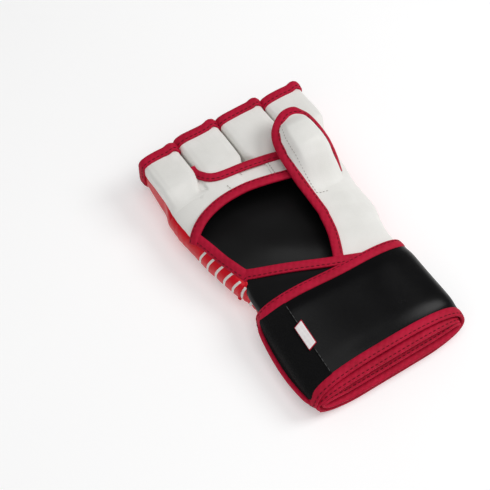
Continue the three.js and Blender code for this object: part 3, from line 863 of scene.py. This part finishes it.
def build_finger(name):
    first, last, tip = FINGERS[name].values()
    bend = finger_bend(name)
    sleeve_end = tip - 4.5
    lower = sleeve_surface(name, False, SHELL_END, sleeve_end)
    back_waves = finger_relief(name, 0.5, 0.5)

    def lower_relief(points, u, v):
        return back_waves(points) - 1.0 * tucked(0.08, u)

    cover = shell(f"{name}_back_leather", above_floor(lower, FLOOR_GAP), 64, 46, PADDED_LEATHER, RED, out=-1,
                  relief=lower_relief)
    settle(cover, bend, "red_leather", f"{name}_back_cover")

    # the two middle sleeves start under the grip tape, a little below the palm
    under_tape = 0 if name in ("little", "index") else 1
    upper = sleeve_surface(name, True, SHELL_END - 2.5 * under_tape, sleeve_end, 1.3 * under_tape)
    front = shell(f"{name}_front_leather", upper, 60, 46, PALM_LEATHER, WHITE,
                  relief=finger_relief(name, 0.35, 0.25))
    settle(front, bend, "white_leather", f"{name}_palm_panel", f"{name}_ulnar_gusset",
           f"{name}_radial_gusset")

    def foam_place(u, v):
        x = mix(first + 4.6, last - 4.6, u)
        return stack(x, mix(SHELL_END + 9, sleeve_end - 2, v), 12.2 + 0.6 * np.sin(math.pi * u))

    u, v = np.meshgrid(np.linspace(0, 1, 13), np.linspace(0, 1, 17))
    thick = np.maximum(12.2 - 2.8 - 5.2 * v ** 2 - 3.5 * np.abs(2 * u - 1) ** 4, 1)
    foam = shell(f"{name}_foam", foam_place, 12, 16, thick[..., None], FOAM)
    settle(foam, bend, "foam", f"{name}_foam_pad")

    def inner_section(y, share):
        """the lining, which opens out to the tape at the sleeve's mouth"""
        t = sleeve_share(name, y)
        flare = smooth(tip - 8, tip - 2, y)
        inset = mix(3.6, 2.2, flare)
        top = sleeve_top(t) - mix(2.6, 1.8, flare)
        low = mix(13.2, sleeve_low(t) + 2.4, flare ** 2)
        loop = sleeve_loop(first + inset, last - inset, low, top, 16, mix(2.4, 6.0, flare), 3)
        x, z = along_line(loop, share).T
        return stack(x, y, z)

    inner = shell(f"{name}_inner_lining", lofted(SHELL_END + 14, tip - 1.2, inner_section), 44, 24, 0.5,
                  DEEP_LINING, closed=True, out=-1)
    settle(inner, bend, "lining")

    # the tip tape, a closed ring with a small raised ear where its ends are sewn together
    y = tip - TAPE_WIDTH / 2
    t = sleeve_share(name, y)
    grow = 0.3
    ring = sleeve_loop(first + SLEEVE_GAP - grow, last - SLEEVE_GAP + grow, sleeve_low(t) - grow,
                       sleeve_top(t) + grow, 14, back_corner(t), PALM_CORNER + grow)
    x, z = resample(along_line(ring, np.linspace(0, 1, 73)[:-1]), 1.5, closed=True).T
    path = stack(x, y, z)
    up = np.cross(FORWARD, unit(np.roll(path, -1, axis=0) - np.roll(path, 1, axis=0)))
    ear = np.exp(-(np.hypot(x - last + 3.5, z - PALM_LEVEL) / 3.2) ** 2)
    path = path + stack(0, 0.5 * soft_noise(path, 14, 21) + 1.1 * ear, 0) + up * ear[:, None] * 1.3
    [binding] = tape([f"{name}_tip_binding"], path, up, closed=True, thick=3.2)
    settle(binding, bend, "crimson_tape", f"{name}_tip_tape")


def build_webs():
    """the white leather that closes the bottom of each slot between two fingers"""
    webs = []
    for name in ("little", "ring", "middle"):
        middle = between(name)[1]
        top = PALM_LEVEL - (4 if name == "little" else 2.4)

        def place(u, v, middle=middle, top=top):
            across = mix(-5.5, 5.5, u)
            z = mix(7, top, v)
            y = SHELL_END + 6.5 - 3.2 * ((z - 20) / 10) ** 2 + 1.1 * (across / 5.5) ** 2
            return stack(middle + across, y, z)

        webs.append(shell(f"{name}_web", place, 10, 20, 0.9, WHITE,
                          relief=soft_relief(0.3, 6, 71, level=False)))
    settle(join("finger_webs", webs), "hand", "white_leather")


# ------------------------------------------------------------------ palm
# points of the tapes' and the bar's outlines over the palm
GRIP_LINE = [(-33, 79), (-33.4, 72), (-30.6, 65.6), (-25, 62), (-17, 60.4), (-6, 59.2), (12, 56.2),
             (30, 52.2)]
UPPER_LINE = [(-60.5, 31.5), (-54, 36.8), (-45, 41.2), (-32, 44.2), (-18, 44.8), (-6, 43.6), (12, 39.8),
              (30, 35.5)]
EDGE_LINE = [(-57.4, 31.5), (-55.2, 22), (-52.6, 10), (-49.4, 0), (-46.5, -6.5)]
THUMB_LINE = [(2, -40), (8.5, -27), (14.6, -12), (18, 4), (18.4, 14), (17, 24), (14.4, 34)]
BAR = [(-16, 45), (-6, 44), (12, 40), (31, 36), (31, 51.5), (12, 55.5), (-6, 58.5), (-16, 59.5)]
BAR_PATCH = [(7, 41), (31, 36), (31, 51.5), (8.2, 56.5)]
BAR_STITCHES = ([(-22.4, 53), (-21.6, 49), (-19.6, 46)], [(-10.6, 56), (-9.2, 53.4)], [(8.9, 42), (9.4, 55)])


def palm_path(points, lift, spacing=1.5):
    """a smooth path over the palm through [x, y] points, with the surface's own normals"""
    x, y = curve_through(points, spacing).T
    up = height_normals(palm, x, y, 0.5)
    return stack(x, y, palm(x, y)) + up * lift, up


def build_palm():
    relief = soft_relief(0.45, 17, 31, 0.42, (0.5, 1, 0), 12)
    opening_x, opening_y = curve_through(UPPER_LINE).T
    grip_x, grip_y = curve_through(GRIP_LINE[2:]).T

    def palm_place(u, v):
        """from the red shell's seam across to the bar, and from the opening up to the fingers"""
        angle = mix(ULNAR_SEAM, angle_at(-12.0, 50.0), u)
        x = hand_wall(angle, 45.0)[..., 0]
        under_grip = np.interp(x, grip_x, grip_y) + 3.5 - 5.0 * smooth(-34, -29, x)
        top = mix(SHELL_END, under_grip, smooth(-42, -38, x))
        y = mix(np.interp(x, opening_x, opening_y), top, v)
        under_sleeve = smooth(SHELL_END, SHELL_END + 3, y) * (1 - smooth(-35.6, -33.8, x))
        return hand_wall(angle, y, 1.3 * under_sleeve)

    sheet = shell("palm_leather", palm_place, 60, 36, PALM_LEATHER, WHITE, relief=relief)
    settle(sheet, "hand", "white_leather", "ulnar_palm_panel")

    bar = [panel("palm_bar_leather", BAR, lambda x, y: palm(x, y) - 0.9, 1.2, WHITE, relief),
           panel("palm_bar_patch", BAR_PATCH, lambda x, y: palm(x, y) + 0.1, 0.9, WHITE, relief)]
    for k, line in enumerate(BAR_STITCHES):
        x, y = resample(line, 0.8).T
        path = stack(x, y, palm(x, y) + 0.25)
        bar.append(stitches(f"bar_stitch_{k}", path, np.tile(UP, (len(path), 1)), 0.1, WHITE_THREAD,
                            length=1.5, radius=0.24, pitch=2.0))
    settle(join("palm_bar_leather", bar), "hand", "white_leather", "palm_bar")

    # the grip tape's upper end is tucked down between the little and the ring finger
    path, up = palm_path(GRIP_LINE, 0.9)
    path[:, 2] -= 3.4 * smooth(66, 77, path[:, 1]) + 2.4 * smooth(21, 29, path[:, 0])
    [grip] = tape(["grip_binding"], path, up, width=6.2, seam=-1)
    slot_bend = ("hand", "little_sleeve", (-25, SHELL_END + 6, 31), (-33, SHELL_END + 22, 31))
    settle(grip, slot_bend, "crimson_tape", "grip_tape")

    path, up = palm_path(UPPER_LINE, 0.7)
    [upper] = tape(["opening_upper_binding"], path, up)
    settle(upper, "hand", "crimson_tape", "palm_opening_upper_tape")

    path, up = palm_path(EDGE_LINE, 0.2)
    path[:, 2] -= 1.6 * (1 - smooth(-7, 2, path[:, 1]))
    [edge] = tape(["opening_edge_binding"], path, up, seam=-1)
    settle(edge, WRIST_BEND, "crimson_tape", "palm_opening_edge_tape")


def thumb_base_inner(y):
    """x of the edge of the leather over the ball of the thumb: under the opening's tape, then outwards"""
    tape_x, tape_y = curve_through(THUMB_LINE, 1.0).T
    outwards = np.interp(y, [24, 34, 40, SHELL_END], [18, 24, 30, 34])
    return np.where(y < 24, np.interp(y, tape_y, tape_x) + 0.5, outwards)


def build_thumb_base():
    def place(u, v):
        y = mix(WRIST_LINE - 18, SHELL_END, v)
        return hand_wall(mix(angle_at(thumb_base_inner(y), y), RADIAL_SEAM - TURN - 0.03, u), y)

    base = shell("thumb_base_leather", place, 52, 78, PALM_LEATHER, WHITE,
                 relief=soft_relief(0.5, 21, 41, 0.3, (0.3, 1, 0), 13))
    settle(base, WRIST_BEND, "white_leather", "thumb_base_panel", "index_base_panel", "thumb_edge_panel")


# ------------------------------------------------------------------ thumb sleeve
def thumb_inner(y):
    levels = [THUMB_BASE, 24, 36, 46, 55, 62, 67, THUMB_TIP]
    return np.interp(y, levels, [20.5, 19.8, 18.8, 18.4, 19.6, 22.4, 26.8, 34])


def thumb_outer(y):
    levels = [THUMB_BASE, 24, 40, 50, 58, 64, 68, THUMB_TIP]
    return np.interp(y, levels, [46, 47.4, 48.6, 48.4, 47.6, 46.4, 44.8, 42])


def thumb_rim(y):
    """height of the sleeve's edge tape once the sleeve has left the palm"""
    return np.interp(y, [THUMB_BASE, 30, THUMB_TIP], [32.5, 36.0, 44.5])


def thumb_grown(y):
    """0 where the sleeve is still the palm leather, 1 where it is a sleeve of its own"""
    return smooth(THUMB_BASE, THUMB_BASE + 30, y)


def thumb_side(x, y):
    """-1 on the sleeve's palm-side edge, 1 on its outer edge"""
    x0, x1 = thumb_inner(y), thumb_outer(y)
    return np.clip((2 * x - x0 - x1) / (x1 - x0), -1, 1)


def thumb_top(x, y):
    """height of the sleeve's cover: it grows out of the palm, and its padded oval stands proud"""
    s = thumb_side(x, y)
    t = np.clip((y - 44) / (THUMB_TIP + 1 - 44), 0, 1)
    dome = 8.0 * (1 - t * t) ** 0.75
    oval = smooth(-0.86, -0.48, s) * (1 - smooth(0.7, 1.0, s)) * smooth(25, 37, y)
    oval = oval * (1 - smooth(THUMB_TIP - 12, THUMB_TIP - 3, y))
    arch = thumb_rim(y) + dome * bow(s, 2.1) + 2.2 * oval
    return mix(palm(x, y) - 0.35, arch, thumb_grown(y))


def build_thumb():
    end = THUMB_TIP - 0.8

    def layer(y_low, y_high, inset, height):
        """place(u, v) for a sheet of the sleeve at height(x, y), this far inside its edges"""
        def place(u, v):
            y = mix(y_low, y_high, v)
            x0, x1 = thumb_inner(y) + inset, thumb_outer(y) - inset
            x = (x0 + x1) / 2 + (x1 - x0) / 2 * np.sin(mix(-1, 1, u) * math.pi / 2)
            return stack(x, y, height(x, y))
        return place

    def under_height(x, y):
        sleeve = thumb_rim(y) - 0.6 - 2.8 * (1 - np.abs(thumb_side(x, y)) ** 5)
        return mix(palm(x, y) - 1.3, sleeve, thumb_grown(y))

    cover = shell("thumb_cover_leather", layer(THUMB_BASE, end, 0, thumb_top), 64, 78, PALM_LEATHER, WHITE,
                  relief=soft_relief(0.3, 14, 51, 0.2, (1, 0.4, 0), level=False))
    settle(cover, THUMB_BEND, "white_leather", "thumb_cover")
    under = shell("thumb_underside_leather", layer(THUMB_BASE + 12, end - 3, 1.4, under_height), 30, 50, 1.0,
                  WHITE, relief=soft_relief(0.2, 14, 53, level=False))
    settle(under, THUMB_BEND, "white_leather", "thumb_underside")
    pad_layer = layer(THUMB_BASE + 14, end - 7, 4.5, lambda x, y: thumb_top(x, y) - 1.9)
    pad = shell("thumb_padding", pad_layer, 24, 30, 1.6, FOAM)
    settle(pad, THUMB_BEND, "foam", "thumb_foam_pad")
    lining_layer = layer(THUMB_BASE + 18, end - 2, 3.0, lambda x, y: thumb_top(x, y) - 4.0)
    lining = shell("thumb_inner_lining", lining_layer, 30, 36, 0.7, DEEP_LINING)
    settle(lining, THUMB_BEND, "lining", "thumb_lining")

    # one tape from the cuff up the thumb side of the opening, round the sleeve's tip and down its outer edge
    def on_edge(x, y, out, lift):
        """a point of the tape, this far outside the sleeve's edge and above it"""
        return (x + out, y, float(thumb_top(x, y)) + lift)

    low, low_up = palm_path(THUMB_LINE[:4], 0.9, 3.0)
    inner = [on_edge(thumb_inner(y), y, -1.2, 0.5) for y in (23, 31, 40, 48, 56, 62, 66.5)]
    tip_z = thumb_rim(THUMB_TIP) + 1.2
    tip = [(x, THUMB_TIP + past, tip_z) for x, past in ((30.2, -0.3), (35.4, 1.7), (41.0, 0.9))]
    sinks = {y: 0.2 - 1.8 * smooth(56, 34, y) for y in (67, 62, 56, 49, 42, 34)}
    outer = [on_edge(thumb_outer(y), y, 0.5, lift) for y, lift in sinks.items()]
    tuck = on_edge(thumb_outer(26), 26, -1.0, -2.2)
    route = curve_through([*low, *inner, *tip, *outer, tuck])
    across, along = route[:, 0], route[:, 1]
    tilt = mix(0.75, 0.15, smooth(58, 68, along))
    tilt = mix(tilt, 2.0, smooth(41, 47, across))[:, None]
    raised_up = UP + tilt * unit(route - np.array([33.0, 44.0, 30.0]))
    up = unit(mix(pick(low_up, low[:, 1], along), raised_up, smooth(16, 38, along)[:, None]))
    split = int(np.argmax(along > 4.0))
    lower, rim = tape(["opening_thumb_binding", "thumb_binding"], route, up, cuts=(split,), seam=-1)
    settle(lower, WRIST_BEND, "crimson_tape", "palm_opening_thumb_tape")
    settle(rim, THUMB_BEND, "crimson_tape", "thumb_side_tape", "thumb_mouth_tape")

    # the stitch line beside the padded oval, which starts with a short hook
    hook, straight = 8, 40
    y = np.concatenate([np.linspace(THUMB_BASE + 0.6, THUMB_BASE + 1.6, hook),
                        np.linspace(THUMB_BASE + 2.6, THUMB_TIP - 9, straight)])
    share = np.concatenate([np.linspace(0.42, 0.2, hook), np.full(straight, 0.13)])
    x = mix(thumb_inner(y), thumb_outer(y), share)
    path = stack(x, y, np.maximum(thumb_top(x, y), palm(x, y)))
    row = stitches("thumb_pad_stitches", path, np.tile(unit(np.array([-0.55, 0, 1.0])), (len(path), 1)), 0.1,
                   WHITE_THREAD, length=1.5, radius=0.22, pitch=2.3)
    settle(row, THUMB_BEND, "white_leather")


# ------------------------------------------------------------------ cuff and strap
CUFF_CENTRE, CUFF_HALF, CUFF_WIDEN, CUFF_ROUNDNESS = -2.0, 54.0, 3.0, 2.5
CUFF_SLANT = 0.22
WRAP_DEPTH = 4.8
STRAP_DEPTH = 0.6
TAPE_DEPTH = 1.2
FOLD_ANGLE, HOOK_SEAM, ROOT_ANGLE, STRAP_END = 375, 491, 201, 546
STRAP_CORNER = 8


def cuff_middle(y):
    return np.interp(y, [HEM_END, CUFF_TOP], [12.5, 16.5])


def cuff_rise(y):
    return np.interp(y, [HEM_END, CUFF_TOP], [13.5, 17.5])


def cuff_wall(angle, y, depth):
    """a point of the cuff tube, flatter towards its mouth; depth is a number or a function of the angle"""
    deep = depth(angle) if callable(depth) else depth
    widen = CUFF_WIDEN * (CUFF_TOP - y) / -HEM_END
    x = CUFF_CENTRE + (CUFF_HALF + widen - deep) * signed_power(np.cos(angle), 2 / CUFF_ROUNDNESS)
    z = cuff_middle(y) + (cuff_rise(y) - deep) * signed_power(np.sin(angle), 2 / CUFF_ROUNDNESS)
    return stack(x, y, np.maximum(z, deep))


def cuff_x(angle, depth=0):
    return cuff_wall(angle, CUFF_TOP, depth)[..., 0]


def hem(angle):
    """y of the cuff's open end: the palm side is a little shorter"""
    z = cuff_middle(CUFF_TOP) + cuff_rise(CUFF_TOP) * signed_power(np.sin(angle), 0.8)
    return HEM_END + CUFF_SLANT * np.maximum(z, 0)


def strap_top(x):
    """y of the strap's top edge, which sags a little in the middle of the palm"""
    return CUFF_TOP - 0.03 * (x + 57) - 1.6 * np.exp(-((x - 4) / 28) ** 2)


def cuff_relief(points, *_):
    return 0.5 * soft_noise(points * np.array([1, 1, 0.2]), 34, 61) * smooth(0.6, 6, points[..., 2])


def puffed(amount, width=58.0):
    """the cuff's own waves, and leather that swells as soon as it leaves its edge tapes"""
    def rise(distance):
        return 1 - np.exp(-(np.maximum(distance - 2.6, 0) / 5.0) ** 2)

    def relief(points, u, v):
        swell = amount * rise(v * width) * rise((1 - v) * width)
        return cuff_relief(points) + swell * smooth(0.6, 6, points[..., 2])
    return relief


def cuff_sheet(name, degrees, y_low, y_high, depth, thick, material, count_u, count_v=34, relief=cuff_relief):
    """part of the cuff between two angles; y_low and y_high are functions of (angle, x)"""
    def place(u, v):
        angle = mix(*np.radians(degrees), u)
        x = cuff_x(angle)
        return cuff_wall(angle, mix(y_low(angle, x), y_high(angle, x), v), depth)

    return shell(name, above_floor(place), count_u, count_v, thick, material, out=-1, relief=relief)


def on_cuff(path):
    """the path moved with the cuff's own waves, and the cuff's outward normals along it"""
    radial = path - stack(CUFF_CENTRE, path[:, 1], cuff_middle(path[:, 1]))
    up = unit(radial * stack(1.0 / CUFF_HALF ** 2, 0, 1.0 / cuff_rise(path[:, 1]) ** 2))
    moved = path + up * cuff_relief(path)[:, None]
    moved[:, 2] = np.maximum(moved[:, 2], TAPE_THICKNESS / 2)
    return moved, up


def cuff_tape(name, degrees, y_at, depth, closed=False):
    """an edge tape round part of the cuff; y_at is a function of (angle, x)"""
    angle = np.linspace(*np.radians(degrees), 240)[:-1 if closed else None]
    path = cuff_wall(angle, y_at(angle, cuff_x(angle)), depth)
    path, up = on_cuff(resample(path, 1.6, closed))
    return tape([name], path, up, closed=closed)[0]


def hem_leather(angle, x):
    return hem(angle) + 4


def strap_leather(angle, x):
    return strap_top(x) - 3


def level_at(y):
    return lambda angle, x: 0 * x + y


def above_hem(distance):
    return lambda angle, x: hem(angle) + distance


def build_cuff():
    back = cuff_sheet("cuff_back_leather", (180, 376), hem_leather, level_at(WRIST_LINE - 1), WRAP_DEPTH,
                      PADDED_LEATHER, BLACK, 110)
    settle(back, "cuff", "black_leather", "cuff_back_panel")

    def wrap_top(angle, x):
        """the wrap's edge slants from the palm opening's corner to under the strap"""
        t = np.clip((x + 50) / 82, 0, 1)
        return mix(-7.5, strap_top(x) - 5.5, t ** 0.8)

    wrap = cuff_sheet("wrist_wrap_leather", (6, 176), hem_leather, wrap_top, WRAP_DEPTH, PADDED_LEATHER,
                      WRAP_BLACK, 96, 60, puffed(1.5, 70.0))
    settle(wrap, WRIST_BEND, "black_leather", "wrist_wrap")
    edge = cuff_tape("wrap_binding", (48, 163), lambda a, x: wrap_top(a, x) + 0.5, WRAP_DEPTH - 0.4)
    settle(edge, WRIST_BEND, "crimson_tape", "wrist_wrap_upper_tape")

    def wrap_hem_y(angle, x):
        """the wrap sticks out further than the strap on the palm side"""
        return hem(angle) + 3.2 - 4.6 * np.maximum(np.sin(angle), 0) ** 0.7

    def wrap_hem_depth(angle):
        """the wrap's edge comes out to fill the strap's parting on the little-finger side"""
        return WRAP_DEPTH + 0.7 - 3.4 * smooth(math.radians(172), math.radians(190), angle)

    wrap_hem = cuff_tape("wrap_hem_binding", (-4, 205), wrap_hem_y, wrap_hem_depth)
    settle(wrap_hem, "cuff", "crimson_tape", "wrist_wrap_hem_tape")
    flap = cuff_sheet("wrap_hem_leather", (6, 171), lambda a, x: wrap_hem_y(a, x) + 1, above_hem(14),
                      WRAP_DEPTH + 0.9, 1.6, BLACK, 90, 12)
    settle(flap, "cuff", "black_leather")

    # the cuff's own mouth is pressed nearly flat under the wrap
    def mouth_depth(angle):
        height = np.sin(angle)
        return WRAP_DEPTH + 0.8 + 7.2 * smooth(0, 0.8, height) + 2.6 * smooth(0, 0.8, -height)

    inner_hem = cuff_tape("cuff_hem_binding", (0, 360), lambda a, x: wrap_hem_y(a, x) - 1.2, mouth_depth,
                          closed=True)
    settle(inner_hem, "cuff", "crimson_tape", "cuff_back_hem_tape")

    def lining_place(u, v):
        angle = TURN * u
        y = mix(wrap_hem_y(angle, 0) + 1, WRIST_LINE - 8, v)
        return cuff_wall(angle, y, mix(mouth_depth(angle), WRAP_DEPTH + 3.2, smooth(0, 0.5, v)))

    lining = shell("cuff_inner_lining", lining_place, 120, 30, 0.6, LINING, closed=True, out=-1)
    settle(lining, "cuff", "lining")

    patch = cuff_sheet("loop_patch_pile", (98, 160), above_hem(11), level_at(CUFF_TOP - 10), 3.6, 0.8,
                       LOOP, 40)
    settle(patch, "cuff", "loop_pile", "loop_patch")

    root = cuff_sheet("strap_root_leather", (ROOT_ANGLE, FOLD_ANGLE), hem_leather, strap_leather, STRAP_DEPTH,
                      STRAP_LEATHER, BLACK, 96, relief=puffed(1.1))
    settle(root, "cuff", "black_leather", "strap_root")


def strap_outline():
    """one route round the whole strap: along its top edge, round its end and back along its hem"""
    angles = np.radians(np.linspace(ROOT_ANGLE, STRAP_END, 260))
    top = cuff_wall(angles, strap_top(cuff_x(angles, TAPE_DEPTH)) - 3.4, TAPE_DEPTH)
    low = cuff_wall(angles, hem(angles) + 3.2, TAPE_DEPTH)[::-1]
    share = np.linspace(0, 1, 30)[1:-1]
    swing = np.sin(math.pi * share)
    end_y = mix(top[-1][1] - 4, low[0][1] + 4, share)
    end = cuff_wall(np.radians(STRAP_END + STRAP_CORNER * swing), end_y, -0.6 - 2.2 * swing)
    route = resample(np.vstack([top, end, low]), 1.6)
    for _ in range(6):
        route[1:-1] = (route[:-2] + 2 * route[1:-1] + route[2:]) / 4
    return route


def strap_cuts(route):
    """the points where the strap's outline passes the fold and the hook seam, on the way out and back"""
    half = len(route) // 2
    fold_x, seam_x = cuff_x(np.radians([FOLD_ANGLE, HOOK_SEAM]), TAPE_DEPTH)
    on_back = 500 * (route[:, 2] <= cuff_middle(route[:, 1]))
    to_fold = np.abs(route[:, 0] - fold_x) + on_back
    to_seam = np.abs(route[:, 0] - seam_x) + on_back
    return (int(np.argmin(to_fold[:half])), int(np.argmin(to_seam[:half])),
            half + int(np.argmin(to_seam[half:])), half + int(np.argmin(to_fold[half:])))


def build_strap():
    strap = cuff_sheet("strap_leather", (FOLD_ANGLE, HOOK_SEAM), hem_leather, strap_leather, STRAP_DEPTH,
                       STRAP_LEATHER, BLACK, 90, 40, puffed(1.1))
    settle(strap, STRAP_BEND, "black_leather", "strap_panel")

    def rounded(angle):
        """how far round the strap's end its edge passes this angle: 0 at the corners, 0.5 in the middle"""
        return np.arcsin(np.clip((np.degrees(angle) - STRAP_END) / STRAP_CORNER, 0, 1)) / math.pi

    def band_low(angle, x):
        return mix(hem_leather(angle, x), strap_leather(angle, x), rounded(angle))

    def band_high(angle, x):
        return mix(strap_leather(angle, x), hem_leather(angle, x), rounded(angle))

    def band_depth(angle):
        return 0.2 - 2.6 * smooth(math.radians(STRAP_END - 6), math.radians(STRAP_END + STRAP_CORNER), angle)

    band = cuff_sheet("hook_band_webbing", (HOOK_SEAM - 2, STRAP_END + 7), band_low, band_high, band_depth,
                      STRAP_LEATHER, HOOK, 66, 40, puffed(0.7))
    settle(band, TIP_BEND, "hook_webbing", "hook_band")

    route = strap_outline()
    cuts = strap_cuts(route)
    route, up = on_cuff(route)
    names = ["strap_root_upper_binding", "strap_upper_binding", "strap_end_binding", "strap_hem_binding",
             "strap_root_hem_binding"]
    root_top, strap_upper, strap_end, strap_hem, root_hem = tape(names, route, up, cuts=cuts, seam=-1)
    settle(root_top, "cuff", "crimson_tape", "strap_root_upper_tape")
    settle(strap_upper, STRAP_BEND, "crimson_tape", "strap_upper_tape")
    settle(strap_end, TIP_BEND, "crimson_tape", "hook_band_upper_tape", "hook_band_hem_tape",
           "hook_band_end_tape")
    settle(strap_hem, STRAP_BEND, "crimson_tape", "strap_hem_tape")
    settle(root_hem, "cuff", "crimson_tape", "strap_root_hem_tape")

    # the blank label lies across the hook seam, between two rows of stitches
    def label_sheet(name, margin, depth, material):
        """a sheet of cloth under or on the label, this much larger all round"""
        def edge_at(y):
            return lambda angle, x: y + 0.3 * (x + 42)

        degrees = (HOOK_SEAM - 6.3 - margin, HOOK_SEAM + 1.2 + margin)
        return cuff_sheet(name, degrees, edge_at(-72.3 - margin), edge_at(-56.8 + margin), depth, 0.5,
                          material, 12, 16)

    label = join("strap_label_cloth", [label_sheet("label_cloth", 0, -1.75, LABEL),
                                       label_sheet("label_edge", 0.55, -1.5, CRIMSON)])
    settle(label, TIP_BEND, "label_fabric", "strap_label")
    rows = []
    seam_angle = math.radians(HOOK_SEAM - 2.6)
    for k, (low_y, high_y) in enumerate(((hem(seam_angle) + 7, -73.5), (-55, CUFF_TOP - 9))):
        path, up = on_cuff(cuff_wall(np.full(30, seam_angle), np.linspace(low_y, high_y, 30), -1.0))
        rows.append(stitches(f"hook_seam_stitches_{k}", path, up, 0.0, SEAM_THREAD, length=2.9, radius=0.2))
    settle(join("hook_seam_stitches", rows), TIP_BEND, "black_leather")


# ------------------------------------------------------------------ studio
def add_to_scene(name, data, place, toward):
    """a camera or lamp at this place in metres, facing the direction toward"""
    obj = bpy.data.objects.new(name, data)
    obj.location = place
    obj.rotation_euler = Vector(toward).to_track_quat("-Z", "Y").to_euler()
    bpy.context.scene.collection.objects.link(obj)
    return obj


def build_studio():
    scene = bpy.context.scene
    turn, tilt = math.radians(32.5), math.radians(57)
    toward = np.array([math.sin(turn) * math.cos(tilt), math.cos(turn) * math.cos(tilt), -math.sin(tilt)])
    target = np.array([-31.5, 17.0, 14.5])
    distance = 737.0
    camera = bpy.data.cameras.new("camera")
    camera.lens = 85
    camera.sensor_width = 36
    scene.camera = add_to_scene("camera", camera, (target - toward * distance) * MM, toward)

    look = Look("studio_floor")
    look.colour(look.noise(3.0), 0.2, (229, 229, 229), 0.8, (233, 233, 233))
    look.set(Roughness=0.85, Specular_IOR_Level=0.2, Emission_Color=(1, 1, 1, 1), Emission_Strength=0.32)
    size = 4000.0
    corners = [(-size, -size, -0.05), (size, -size, -0.05), (size, size, -0.05), (-size, size, -0.05)]
    new_object("studio_floor", corners, [(0, 1, 2, 3)], look.material)

    aim = np.array([0, 0, 0.02])
    for name, place, size_m, power in (("key_light", (0.95, -0.30, 0.95), 0.6, 7.6),
                                       ("fill_light", (-0.9, -0.5, 0.9), 1.0, 1.4),
                                       ("top_light", (-0.05, -0.18, 1.3), 0.9, 4.8)):
        light = bpy.data.lights.new(name, "AREA")
        light.size = size_m
        light.energy = power
        add_to_scene(name, light, place, aim - place)
    scene.world = bpy.data.worlds.new("studio")
    scene.world.use_nodes = True
    background = scene.world.node_tree.nodes["Background"]
    background.inputs["Color"].default_value = (1, 1, 1, 1)
    background.inputs["Strength"].default_value = 0.29
    scene.view_settings.view_transform = "Standard"


build_studio()
build_back()
for finger_name in FINGERS:
    build_finger(finger_name)
build_webs()
build_palm()
build_thumb_base()
build_thumb()
build_cuff()
build_strap()
